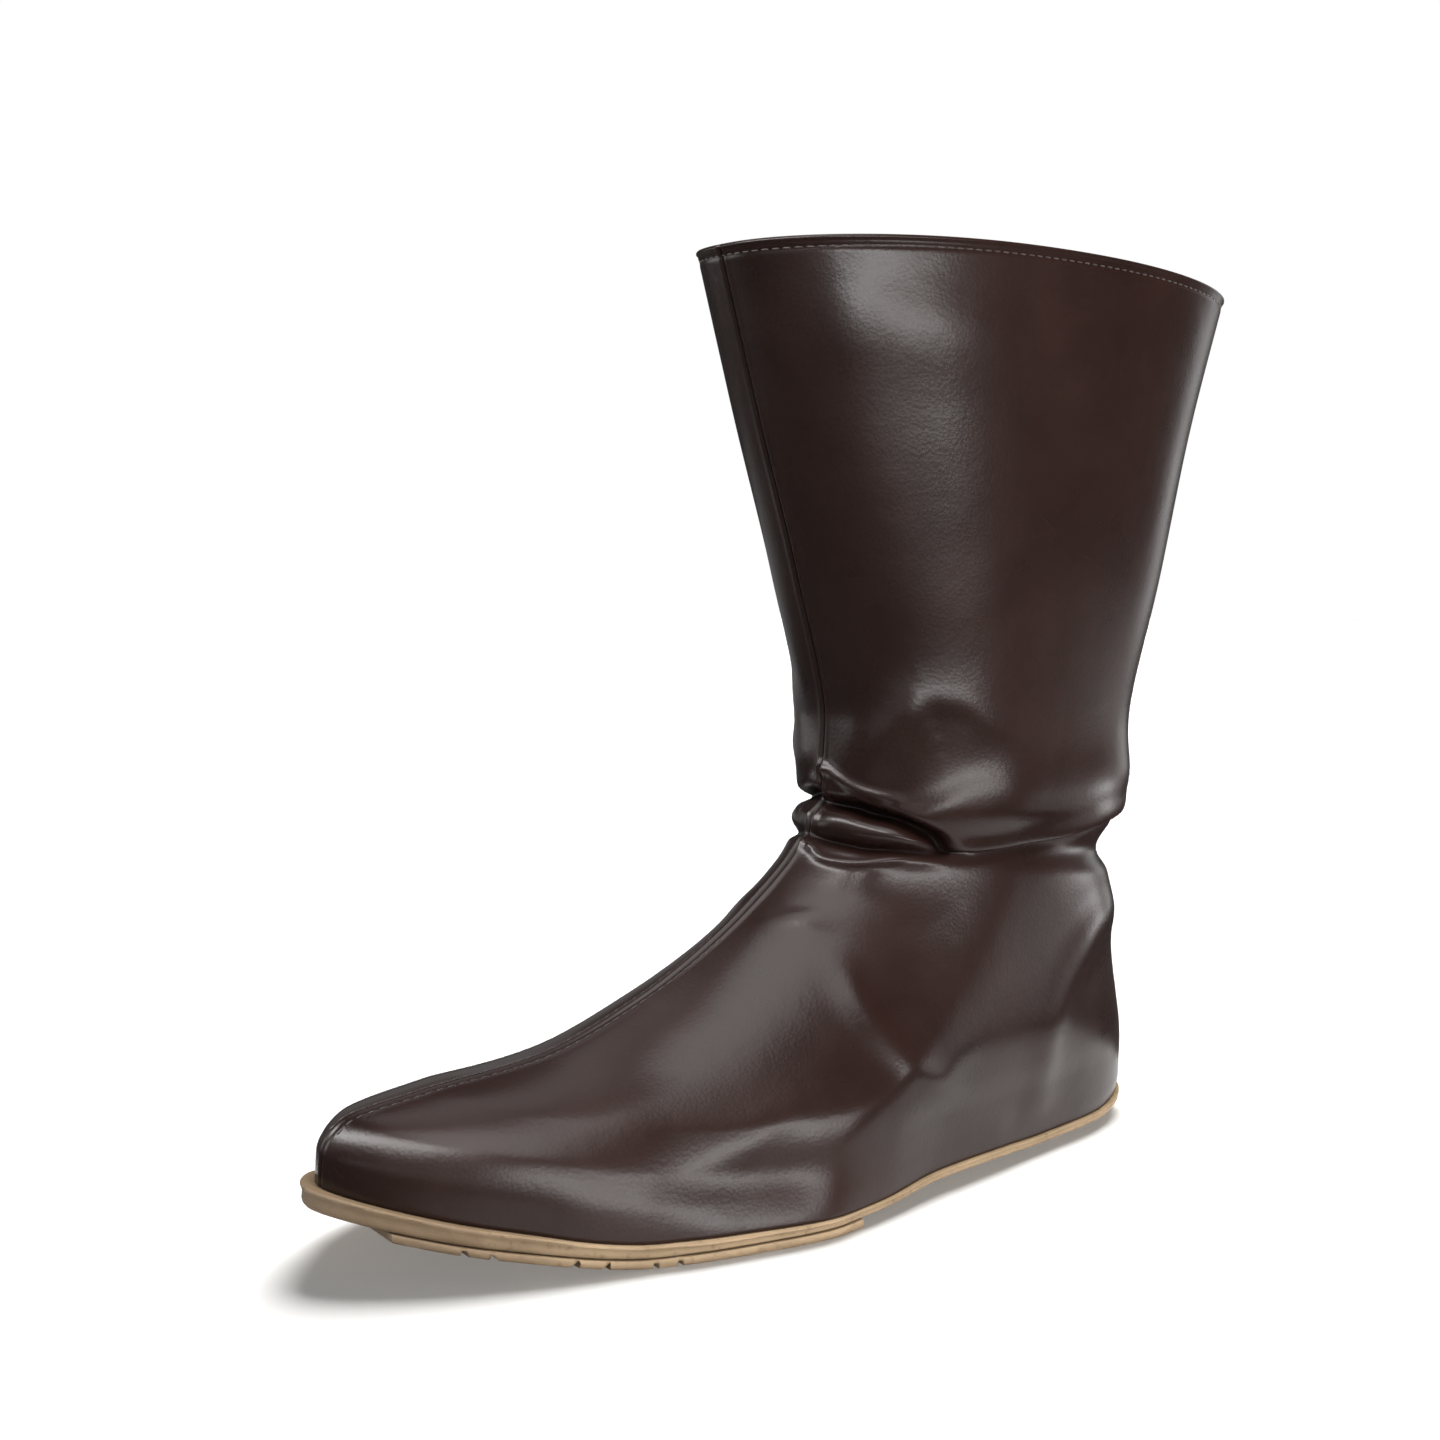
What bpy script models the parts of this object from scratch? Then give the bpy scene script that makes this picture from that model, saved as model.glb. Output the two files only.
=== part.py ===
"""Costume boot, left foot: a slouched two-panel upper on a thin rubber sole.

Metres, +Z up. The toe points along -Y and the outer side of the foot along +X. The origin lies on
the floor under the middle of the boot. Sizes below are in millimetres. "Ahead" is the distance in
front of the heel's back end, and "share" is the same distance as a part of the sole's length.
"""
import math
from typing import NamedTuple

import bmesh
import bpy
import numpy as np

MM = 0.001

# Driving sizes, millimetres
SOLE_LENGTH = 287.0
HEEL_BACK_Y = 128.0         # heel's back end, behind the middle of the boot
FOOT_LINE_X = -1.5          # the foot's straight middle line, from the middle of the boot
WALL = 1.8                  # leather-look skin with its lining
FIT_GAP = 0.3               # between pieces that are glued or sewn together
FEATHER_INSET = 1.4         # the sole's lip stands this far out past the upper
TREAD = 2.3                 # thickness of the half sole and of the heel pad
HALF_SOLE_SHARES = (0.52, 0.95)
HALF_SOLE_OUTSET = 0.5
HEEL_PAD_SHARES = (0.0, 0.23)
HEEL_PAD_INSET = 9.0
INSOLE_INSET = 7.2
INSOLE_THICKNESS = 2.4
SEAM_CREST = 1.3            # the front seam's two ridges stand this far to each side of it
SEAM_FOOT = 3.2             # and flatten out this far from it
SEAM_RISE = 0.7
GROOVE_WIDTH = 1.8
GROOVE_DEPTH = 1.5
GROOVE_LENGTH = 130.0
HEEL_CAP_SHARE = 0.15       # part of the length in which the heel's end rounds off
OUTER_TOE_POWER = 0.6       # 0.5 is an ellipse, more is a finer toe
INNER_TOE_POWER = 0.54
OUTER_TOE_CAP_SHARE = 0.45  # part of the length in which the toe's outer edge rounds off
INNER_TOE_CAP_SHARE = 0.36
BALL_HALF = 49.0            # half the sole's width at the ball, to scale an inset outline by

# Eased edges: how far they are set in, and the part of the layer's height they take
RUNNER_EASE = 0.9
LIP_EASE = 0.5
TREAD_EASE = 0.8
EASE_LOW_PART = 0.3
EASE_HIGH_PART = 0.8

# Mesh density
UPPER_COLUMNS = 48
UPPER_STEPS = 3             # rings of faces between two rows of UPPER_ROWS
SOLE_STATIONS = 30
SHARP_ANGLE = math.radians(35.0)
MERGE_DISTANCE = 1e-6       # metres
SEAM_PROBE = 0.01           # rows to each side when the seam's direction is read


class SoleRow(NamedTuple):
    """Half widths of the sole and its heights at one share of its length from the heel."""

    share: float
    middle_x: float
    outer_half: float
    inner_half: float
    under_z: float
    thickness: float


SOLE_ROWS = (
    SoleRow(0.00, -4.5, 27.0, 28.5, 5.0, 2.6),
    SoleRow(0.05, -4.0, 27.0, 28.5, 3.6, 2.5),
    SoleRow(0.10, -3.4, 27.5, 29.0, 2.6, 2.5),
    SoleRow(0.22, -1.8, 32.0, 29.8, 2.6, 2.5),
    SoleRow(0.28, -1.2, 35.0, 29.5, 3.2, 2.5),
    SoleRow(0.39, -0.2, 40.0, 30.5, 3.6, 2.4),
    SoleRow(0.50, 0.9, 47.2, 37.8, 2.6, 2.3),
    SoleRow(0.57, 1.4, 50.0, 45.0, 2.6, 2.3),
    SoleRow(0.67, 0.6, 49.0, 49.0, 2.6, 2.6),
    SoleRow(0.73, -0.8, 49.0, 49.0, 2.6, 3.1),
    SoleRow(0.87, -4.8, 49.0, 49.0, 7.9, 4.6),
    SoleRow(1.00, -9.0, 49.0, 49.0, 16.0, 5.6),
)


class UpperRow(NamedTuple):
    """One ring of the upper, from the back seam round both sides to the front seam.

    Higher round values make an end of the ring blunter, 2 is an ellipse. foot_share is how much of
    the sole's own outline the ring keeps, side_rise lifts the ring's sides over its two seams.
    """

    level: str
    front_ahead: float
    front_z: float
    back_ahead: float
    back_z: float
    middle_x: float
    outer_half: float
    inner_half: float
    front_round: float
    back_round: float
    foot_share: float
    side_rise: float


UPPER_ROWS = (
    UpperRow("feather", 283.0, 20.5, 1.5, 7.5, 0.0, 47.0, 47.0, 2.2, 2.4, 1.00, 0.0),
    UpperRow("toe wall", 282.6, 28.5, 0.3, 13.0, 0.0, 48.0, 47.0, 2.2, 2.4, 0.98, 0.0),
    UpperRow("toe top", 276.5, 37.0, 1.0, 22.0, 0.0, 46.0, 45.0, 2.2, 2.4, 0.90, 0.0),
    UpperRow("toes", 255.0, 41.8, 4.0, 32.0, 0.0, 43.0, 42.0, 2.1, 2.4, 0.66, 0.0),
    UpperRow("ball", 222.0, 46.3, 8.0, 42.0, 0.0, 40.0, 38.5, 2.0, 2.4, 0.44, 0.0),
    UpperRow("waist", 190.0, 58.0, 11.5, 53.0, -0.5, 37.5, 36.0, 1.9, 2.4, 0.24, 0.0),
    UpperRow("instep", 160.5, 75.0, 14.0, 67.0, -1.0, 35.5, 33.5, 1.75, 2.4, 0.08, 0.0),
    UpperRow("ankle", 136.5, 94.5, 16.5, 82.0, -1.5, 34.5, 32.5, 1.8, 2.4, 0.00, 0.0),
    UpperRow("pinch", 130.0, 102.0, 21.0, 90.0, -2.0, 33.0, 31.0, 2.0, 2.4, 0.00, 1.0),
    UpperRow("roll", 124.0, 113.0, 13.5, 106.0, -2.0, 37.5, 36.0, 2.2, 2.4, 0.00, 0.0),
    UpperRow("lower leg", 124.0, 135.0, 10.0, 134.0, -2.0, 37.5, 36.5, 2.5, 2.4, 0.00, 0.0),
    UpperRow("leg", 135.0, 178.0, -3.0, 175.0, -2.0, 39.0, 38.5, 2.5, 2.4, 0.00, 0.5),
    UpperRow("calf", 149.0, 222.0, -15.5, 221.0, -2.0, 41.0, 40.5, 2.5, 2.4, 0.00, 2.0),
    UpperRow("collar", 163.0, 268.5, -30.5, 263.5, -2.0, 42.5, 42.0, 2.5, 2.4, 0.00, 4.5),
)


class Groove(NamedTuple):
    """A groove across the half sole, by its place along the foot and its lean in degrees.

    A positive lean tips the groove's inner end towards the toe.
    """

    ahead: float
    lean: float


GROOVES = (
    Groove(258.0, 12.0),
    Groove(251.5, 28.0),
    Groove(233.0, -50.0),
    Groove(225.5, -55.0),
    Groove(213.0, 0.0),
    Groove(206.5, 0.0),
)


def smooth(xs, ys, at):
    """Values of the monotone cubic through the points, which never swings past its neighbours."""
    xs = np.asarray(xs, float)
    ys = np.asarray(ys, float)
    at = np.asarray(at, float)
    step = np.diff(xs)
    slope = np.diff(ys) / step
    tangent = np.concatenate(([slope[0]], np.zeros(len(slope) - 1), [slope[-1]]))
    product = slope[:-1] * slope[1:]
    rising = product > 0
    total = np.where(rising, slope[:-1] + slope[1:], 1.0)
    tangent[1:-1] = np.where(rising, 2.0 * product / total, 0.0)
    i = np.clip(np.searchsorted(xs, at) - 1, 0, len(step) - 1)
    f = (at - xs[i]) / step[i]
    from_ends = ys[i] * (1 + 2 * f) * (1 - f) ** 2 + ys[i + 1] * f * f * (3 - 2 * f)
    from_tangents = tangent[i] * f * (1 - f) ** 2 - tangent[i + 1] * f * f * (1 - f)
    return from_ends + step[i] * from_tangents


def sole_column(column, share):
    """A column of SOLE_ROWS at any share of the length."""
    shares = [row.share for row in SOLE_ROWS]
    return smooth(shares, [getattr(row, column) for row in SOLE_ROWS], share)


def sole_half(side, share):
    """Half width of the sole on its outer (side 1) or inner (side -1) edge, round at both ends."""
    outer = np.asarray(side) > 0
    half = np.where(outer, sole_column("outer_half", share), sole_column("inner_half", share))
    toe_cap = np.where(outer, OUTER_TOE_CAP_SHARE, INNER_TOE_CAP_SHARE)
    heel_left = 1.0 - np.clip(share / HEEL_CAP_SHARE, 0.0, 1.0)
    toe_left = 1.0 - np.clip((1.0 - share) / toe_cap, 0.0, 1.0)
    toe_power = np.where(outer, OUTER_TOE_POWER, INNER_TOE_POWER)
    return half * np.sqrt(1.0 - heel_left ** 2) * (1.0 - toe_left ** 2) ** toe_power


def sole_edge(side, share, inset):
    """X and ahead of the sole's outline, set in by about the inset all round."""
    x = sole_column("middle_x", share) + side * sole_half(side, share) * (1.0 - inset / BALL_HALF)
    ahead = inset + share * (SOLE_LENGTH - 2.0 * inset)
    return x, ahead


def runner_under(ahead):
    """Height of the midsole's underside, with its arch and toe spring."""
    return sole_column("under_z", np.clip(ahead / SOLE_LENGTH, 0.0, 1.0))


def runner_top(ahead):
    """Height of the midsole's upper face."""
    share = np.clip(ahead / SOLE_LENGTH, 0.0, 1.0)
    return sole_column("under_z", share) + sole_column("thickness", share)


def upper_column(column, level):
    """A column of UPPER_ROWS at any row number."""
    return smooth(range(len(UPPER_ROWS)), [getattr(row, column) for row in UPPER_ROWS], level)


def upper_skin(level, turn):
    """Outside of the upper at row numbers and angles round it, 0 at the back seam, pi at the front."""
    row = {column: upper_column(column, level) for column in UpperRow._fields[1:]}
    share = 0.5 - 0.5 * np.cos(turn)
    side = np.where(np.sin(turn) >= 0.0, 1.0, -1.0)
    ahead = row["back_ahead"] + (row["front_ahead"] - row["back_ahead"]) * share

    # Sides: the sole's outline low down, an oval with blunter ends higher up
    roundness = np.where(share > 0.5, row["front_round"], row["back_round"])
    oval = (1.0 - np.abs(np.cos(turn)) ** roundness) ** (1.0 / roundness)
    half = np.where(side > 0, row["outer_half"], row["inner_half"])
    foot_x, _ = sole_edge(side, share, FEATHER_INSET)
    x = row["foot_share"] * foot_x + (1.0 - row["foot_share"]) * (row["middle_x"] + side * half * oval)

    # Height: straight between the two seams, bent to the sole low down, lifted at the sides
    first = UPPER_ROWS[0]
    feather_ahead = first.back_ahead + (first.front_ahead - first.back_ahead) * share
    feather_bend = runner_top(feather_ahead) + FIT_GAP - first.back_z
    feather_bend = feather_bend - (first.front_z - first.back_z) * share
    z = row["back_z"] + (row["front_z"] - row["back_z"]) * share
    z = z + row["foot_share"] * feather_bend + row["side_rise"] * np.sin(turn) ** 2
    return x, -ahead, z


def seam_normal(level):
    """Forward and upward parts of the outward direction at the front seam."""
    near = np.clip(np.array((level - SEAM_PROBE, level + SEAM_PROBE)), 0.0, len(UPPER_ROWS) - 1)
    forward = np.diff(upper_column("front_z", near))[0]
    up = -np.diff(upper_column("front_ahead", near))[0]
    length = math.hypot(forward, up)
    return forward / length, up / length


def ring_columns(level):
    """Angles of one ring's points, and how far the raised front seam lifts each of them."""
    even = np.linspace(0.0, 2.0 * math.pi, UPPER_COLUMNS, endpoint=False)
    half = float(upper_column("outer_half", level))
    blunt = float(upper_column("front_round", level))
    offsets = []
    for distance in (SEAM_CREST, SEAM_FOOT):
        along = (1.0 - (distance / half) ** blunt) ** (1.0 / blunt)
        offsets.append(math.acos(along))
    crest, foot = offsets
    extra = (math.pi - foot, math.pi - crest, math.pi + crest, math.pi + foot)
    turns = np.sort(np.concatenate((even, extra)))
    rises = np.where(np.isclose(np.abs(turns - math.pi), crest), SEAM_RISE, 0.0)
    return turns, rises


def new_material(name, colour, roughness):
    """A Principled material with one colour."""
    material = bpy.data.materials.new(name)
    material.use_nodes = True
    shader = material.node_tree.nodes["Principled BSDF"]
    shader.inputs["Base Color"].default_value = (*colour, 1.0)
    shader.inputs["Roughness"].default_value = roughness
    shader.inputs["Metallic"].default_value = 0.0
    return material


def new_collection(name):
    """An empty collection in the scene."""
    collection = bpy.data.collections.new(name)
    bpy.context.scene.collection.children.link(collection)
    return collection


def new_piece(name, bm, collection, parent, material):
    """A named object from a bmesh, parented to the boot's empty and shaded smooth."""
    mesh = bpy.data.meshes.new(name)
    bm.to_mesh(mesh)
    bm.free()
    mesh.shade_smooth()
    mesh.set_sharp_from_angle(angle=SHARP_ANGLE)
    mesh.materials.append(material)
    piece = bpy.data.objects.new(name, mesh)
    piece.parent = parent
    collection.objects.link(piece)
    return piece


def make_upper(collection, parent, material):
    """The hollow upper: rings lofted from the feather line to the collar, with a real wall."""
    levels = np.linspace(0.0, len(UPPER_ROWS) - 1, (len(UPPER_ROWS) - 1) * UPPER_STEPS + 1)
    bm = bmesh.new()
    rings = []
    for level in levels:
        turns, rises = ring_columns(level)
        xs, ys, zs = upper_skin(np.full(len(turns), level), turns)
        forward, up = seam_normal(level)
        ys = ys - rises * forward
        zs = zs + rises * up
        rings.append([bm.verts.new((x * MM, y * MM, z * MM)) for x, y, z in zip(xs, ys, zs)])
    count = len(rings[0])
    for low, high in zip(rings, rings[1:]):
        for i in range(count):
            after = (i + 1) % count
            bm.faces.new((low[i], high[i], high[after], low[after]))
    upper = new_piece("upper", bm, collection, parent, material)
    wall = upper.modifiers.new("wall", "SOLIDIFY")
    wall.thickness = WALL * MM
    wall.offset = -1.0
    wall.use_even_offset = True
    return upper


def sole_strip(shares, levels):
    """A bmesh strip of sole between two shares of its length.

    Each level is an inset from the outline and a function of ahead that gives its height. The
    first and last levels are closed by faces straight across the foot.
    """
    turns = np.linspace(0.0, math.pi, SOLE_STATIONS + 1)
    stations = shares[0] + (shares[1] - shares[0]) * (0.5 - 0.5 * np.cos(turns))
    bm = bmesh.new()
    rings = []
    for inset, height in levels:
        ring = []
        for side, order in ((1.0, stations), (-1.0, stations[::-1])):
            xs, aheads = sole_edge(np.full(len(order), side), order, inset)
            zs = height(aheads)
            ring += [bm.verts.new((x * MM, -a * MM, z * MM)) for x, a, z in zip(xs, aheads, zs)]
        rings.append(ring)
    count = len(rings[0])
    for low, high in zip(rings, rings[1:]):
        for i in range(count):
            after = (i + 1) % count
            bm.faces.new((low[i], high[i], high[after], low[after]))
    for i in range(SOLE_STATIONS):
        across = count - 1 - i
        bm.faces.new((rings[0][i], rings[0][i + 1], rings[0][across - 1], rings[0][across]))
        bm.faces.new((rings[-1][across], rings[-1][across - 1], rings[-1][i + 1], rings[-1][i]))
    bmesh.ops.remove_doubles(bm, verts=bm.verts, dist=MERGE_DISTANCE)
    return bm


def between(low, high, part):
    """A height function part of the way from one to another."""
    return lambda ahead: low(ahead) + part * (high(ahead) - low(ahead))


def tread_under(ahead):
    """Height of the walking face."""
    return runner_under(ahead) - FIT_GAP - TREAD


def tread_top(ahead):
    """Height of the tread's upper face, just under the midsole."""
    return runner_under(ahead) - FIT_GAP


def make_midsole(collection, parent, material):
    """The runner sole under the whole foot, its edges eased."""
    levels = (
        (RUNNER_EASE, runner_under),
        (0.0, between(runner_under, runner_top, EASE_LOW_PART)),
        (0.0, between(runner_under, runner_top, EASE_HIGH_PART)),
        (LIP_EASE, runner_top),
    )
    return new_piece("midsole", sole_strip((0.0, 1.0), levels), collection, parent, material)


def make_heel_pad(collection, parent, material):
    """The thin pad under the heel, set in from the edge."""
    levels = (
        (HEEL_PAD_INSET + TREAD_EASE, tread_under),
        (HEEL_PAD_INSET, between(tread_under, tread_top, EASE_LOW_PART)),
        (HEEL_PAD_INSET, tread_top),
    )
    return new_piece("outsole_heel", sole_strip(HEEL_PAD_SHARES, levels), collection, parent, material)


def make_groove_cutter(groove, number, collection, parent):
    """A box that cuts one groove across the half sole."""
    bm = bmesh.new()
    bmesh.ops.create_cube(bm, size=1.0)
    size = (GROOVE_LENGTH * MM, GROOVE_WIDTH * MM, 2.0 * GROOVE_DEPTH * MM)
    bmesh.ops.scale(bm, verts=bm.verts, vec=size)
    mesh = bpy.data.meshes.new(f"groove_{number}")
    bm.to_mesh(mesh)
    bm.free()
    cutter = bpy.data.objects.new(f"groove_{number}", mesh)
    cutter.parent = parent
    cutter.location = (0.0, -groove.ahead * MM, float(tread_under(groove.ahead)) * MM)
    cutter.rotation_euler = (math.radians(groove.lean), 0.0, 0.0)
    cutter.hide_render = True
    cutter.display_type = "WIRE"
    collection.objects.link(cutter)
    return cutter


def make_half_sole(collection, cutters, parent, material):
    """The half sole under the ball, cut across by grooves."""
    levels = (
        (TREAD_EASE - HALF_SOLE_OUTSET, tread_under),
        (-HALF_SOLE_OUTSET, between(tread_under, tread_top, EASE_LOW_PART)),
        (-HALF_SOLE_OUTSET, tread_top),
    )
    bm = sole_strip(HALF_SOLE_SHARES, levels)
    half_sole = new_piece("outsole_forefoot", bm, collection, parent, material)
    for number, groove in enumerate(GROOVES):
        cut = half_sole.modifiers.new(f"groove_{number}", "BOOLEAN")
        cut.operation = "DIFFERENCE"
        cut.object = make_groove_cutter(groove, number, cutters, parent)
    return half_sole


def make_insole(collection, parent, material):
    """The sock that the foot stands on, just inside the upper's wall."""
    def under(ahead):
        return runner_top(ahead) + FIT_GAP

    def top(ahead):
        return under(ahead) + INSOLE_THICKNESS

    levels = (
        (INSOLE_INSET, under),
        (INSOLE_INSET, between(under, top, EASE_HIGH_PART)),
        (INSOLE_INSET + LIP_EASE, top),
    )
    return new_piece("insole", sole_strip((0.0, 1.0), levels), collection, parent, material)


def main():
    """Build the boot in a cleared scene."""
    for old in list(bpy.data.objects):
        bpy.data.objects.remove(old)
    pieces = new_collection("costume_boot")
    cutters = new_collection("groove_cutters")
    heel_point = bpy.data.objects.new("heel_point", None)
    heel_point.location = (FOOT_LINE_X * MM, HEEL_BACK_Y * MM, 0.0)
    pieces.objects.link(heel_point)
    leather = new_material("brown_leather", (0.040, 0.022, 0.017), 0.38)
    rubber = new_material("tan_rubber", (0.42, 0.26, 0.15), 0.75)
    sock = new_material("brown_lining", (0.05, 0.032, 0.024), 0.9)
    make_upper(pieces, heel_point, leather)
    make_insole(pieces, heel_point, sock)
    make_midsole(pieces, heel_point, rubber)
    make_half_sole(pieces, cutters, heel_point, rubber)
    make_heel_pad(pieces, heel_point, rubber)


main()
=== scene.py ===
"""Looks of the costume boot: its folded upper, stitches and rubber sole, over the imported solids.

The file is laid out as an add-on and is run as a script. Tables and helpers are in millimetres,
counted from the heel's back end on the foot's middle line: X towards the outer side of the foot,
Y back from the heel, so the toe has negative Y, and Z up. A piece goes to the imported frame, in
metres, when its mesh is made. "Ahead" is the distance in front of the heel's back end, "share" the
same as a part of the sole's length, and "girth" the way round the upper, back from its front seam.
"""
import math
from typing import NamedTuple

import bmesh
import bpy
import numpy as np
from mathutils import Matrix, Vector


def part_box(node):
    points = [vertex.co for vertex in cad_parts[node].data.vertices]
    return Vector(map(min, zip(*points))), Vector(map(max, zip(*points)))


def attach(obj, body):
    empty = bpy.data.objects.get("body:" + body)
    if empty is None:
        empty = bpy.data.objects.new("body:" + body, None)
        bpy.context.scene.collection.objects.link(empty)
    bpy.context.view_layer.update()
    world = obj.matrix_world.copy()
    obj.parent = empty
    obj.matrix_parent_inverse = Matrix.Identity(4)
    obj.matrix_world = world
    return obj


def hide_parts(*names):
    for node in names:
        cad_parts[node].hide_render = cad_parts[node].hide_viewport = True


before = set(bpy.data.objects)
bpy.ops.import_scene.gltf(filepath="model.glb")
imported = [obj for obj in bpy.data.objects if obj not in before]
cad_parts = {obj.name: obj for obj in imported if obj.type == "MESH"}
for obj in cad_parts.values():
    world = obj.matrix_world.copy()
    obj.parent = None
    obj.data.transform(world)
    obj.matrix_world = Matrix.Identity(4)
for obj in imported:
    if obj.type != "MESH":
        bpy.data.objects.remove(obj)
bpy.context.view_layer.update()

bl_info = {
    "name": "Costume boot",
    "version": (1, 0, 0),
    "blender": (4, 5, 0),
    "location": "3D View > Sidebar > Boot",
    "description": "Builds the folded upper, the stitches and the rubber sole of a costume boot",
    "category": "Add Mesh",
}

MM = 0.001
SOLE_LOW, SOLE_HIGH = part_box("midsole")

# Sizes shared with the solids, millimetres
SOLE_LENGTH = (SOLE_HIGH.y - SOLE_LOW.y) / MM
HEEL_BACK_Y = SOLE_HIGH.y / MM
FOOT_LINE_X = -1.5
FIT_GAP = 0.3
FEATHER_INSET = 1.4
TREAD = 2.3
HALF_SOLE_SHARES = (0.52, 0.95)
HALF_SOLE_OUTSET = 0.5
HEEL_PAD_SHARES = (0.0, 0.23)
HEEL_PAD_INSET = 9.0
INSOLE_INSET = 7.2
INSOLE_THICKNESS = 2.4
GROOVE_WIDTH = 1.8
GROOVE_DEPTH = 1.5
HEEL_CAP_SHARE = 0.15
OUTER_TOE_POWER = 0.6
INNER_TOE_POWER = 0.54
OUTER_TOE_CAP_SHARE = 0.45
INNER_TOE_CAP_SHARE = 0.36
BALL_HALF = 49.0


class SoleRow(NamedTuple):
    """Half widths of the sole and its heights at one share of its length from the heel."""

    share: float
    middle_x: float
    outer_half: float
    inner_half: float
    under_z: float
    thickness: float


SOLE_ROWS = (
    SoleRow(0.00, -4.5, 27.0, 28.5, 5.0, 2.6),
    SoleRow(0.05, -4.0, 27.0, 28.5, 3.6, 2.5),
    SoleRow(0.10, -3.4, 27.5, 29.0, 2.6, 2.5),
    SoleRow(0.22, -1.8, 32.0, 29.8, 2.6, 2.5),
    SoleRow(0.28, -1.2, 35.0, 29.5, 3.2, 2.5),
    SoleRow(0.39, -0.2, 40.0, 30.5, 3.6, 2.4),
    SoleRow(0.50, 0.9, 47.2, 37.8, 2.6, 2.3),
    SoleRow(0.57, 1.4, 50.0, 45.0, 2.6, 2.3),
    SoleRow(0.67, 0.6, 49.0, 49.0, 2.6, 2.6),
    SoleRow(0.73, -0.8, 49.0, 49.0, 2.6, 3.1),
    SoleRow(0.87, -4.8, 49.0, 49.0, 7.9, 4.6),
    SoleRow(1.00, -9.0, 49.0, 49.0, 16.0, 5.6),
)


class UpperRow(NamedTuple):
    """One ring of the upper, from the back seam round both sides to the front seam.

    Higher round values make an end of the ring blunter, 2 is an ellipse. foot_share is how much of
    the sole's own outline the ring keeps, side_rise lifts the ring's sides over its two seams.
    """

    level: str
    front_ahead: float
    front_z: float
    back_ahead: float
    back_z: float
    middle_x: float
    outer_half: float
    inner_half: float
    front_round: float
    back_round: float
    foot_share: float
    side_rise: float


UPPER_ROWS = (
    UpperRow("feather", 283.0, 20.5, 1.5, 7.5, 0.0, 47.0, 47.0, 2.2, 2.4, 1.00, 0.0),
    UpperRow("toe wall", 282.6, 28.5, 0.3, 13.0, 0.0, 48.0, 47.0, 2.2, 2.4, 0.98, 0.0),
    UpperRow("toe top", 276.5, 37.0, 1.0, 22.0, 0.0, 46.0, 45.0, 2.2, 2.4, 0.90, 0.0),
    UpperRow("toes", 255.0, 41.8, 4.0, 32.0, 0.0, 43.0, 42.0, 2.1, 2.4, 0.66, 0.0),
    UpperRow("ball", 222.0, 46.3, 8.0, 42.0, 0.0, 40.0, 38.5, 2.0, 2.4, 0.44, 0.0),
    UpperRow("waist", 190.0, 58.0, 11.5, 53.0, -0.5, 37.5, 36.0, 1.9, 2.4, 0.24, 0.0),
    UpperRow("instep", 160.5, 75.0, 14.0, 67.0, -1.0, 35.5, 33.5, 1.75, 2.4, 0.08, 0.0),
    UpperRow("ankle", 136.5, 94.5, 16.5, 82.0, -1.5, 34.5, 32.5, 1.8, 2.4, 0.00, 0.0),
    UpperRow("pinch", 130.0, 102.0, 21.0, 90.0, -2.0, 33.0, 31.0, 2.0, 2.4, 0.00, 1.0),
    UpperRow("roll", 124.0, 113.0, 13.5, 106.0, -2.0, 37.5, 36.0, 2.2, 2.4, 0.00, 0.0),
    UpperRow("lower leg", 124.0, 135.0, 10.0, 134.0, -2.0, 37.5, 36.5, 2.5, 2.4, 0.00, 0.0),
    UpperRow("leg", 135.0, 178.0, -3.0, 175.0, -2.0, 39.0, 38.5, 2.5, 2.4, 0.00, 0.5),
    UpperRow("calf", 149.0, 222.0, -15.5, 221.0, -2.0, 41.0, 40.5, 2.5, 2.4, 0.00, 2.0),
    UpperRow("collar", 163.0, 268.5, -30.5, 263.5, -2.0, 42.5, 42.0, 2.5, 2.4, 0.00, 4.5),
)
COLLAR = len(UPPER_ROWS) - 1


class Groove(NamedTuple):
    """A groove across the half sole, by its place along the foot and its lean in degrees."""

    ahead: float
    lean: float


GROOVES = (
    Groove(258.0, 12.0),
    Groove(251.5, 28.0),
    Groove(233.0, -50.0),
    Groove(225.5, -55.0),
    Groove(213.0, 0.0),
    Groove(206.5, 0.0),
)

# Mesh of the upper: rings between two rows of UPPER_ROWS, and columns by distance from the seams
ROWS_BETWEEN = (8, 8, 15, 24, 24, 24, 24, 18, 26, 30, 26, 24, 24)
HEM_DROPS = (5.0, 4.2, 3.5, 2.9, 2.3, 1.7, 1.1, 0.5)
LEVEL_CLEAR = 0.01          # part of a row that the leg's rings keep from the hem's
FRONT_COLUMNS = np.array((0.0, 0.4, 0.8, 1.2, 1.6, 2.1, 2.7, 3.5, 4.6, 6.0))
BACK_COLUMNS = np.array((0.0, 0.5, 1.0, 1.6, 2.4, 3.5, 5.0))
MIDDLE_COLUMNS = 108
RING_SAMPLES = 1201

OUTER = 1.0
INNER = -1.0


class Fold(NamedTuple):
    """A soft ridge in the leather, or a trough where its rise is negative.

    The path's points give a place, height, and the part of the rise kept there. The place is girth
    behind the front seam for the leg's folds, and ahead for the foot's.
    """

    name: str
    side: float
    rise: float
    width: float
    path: tuple


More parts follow.
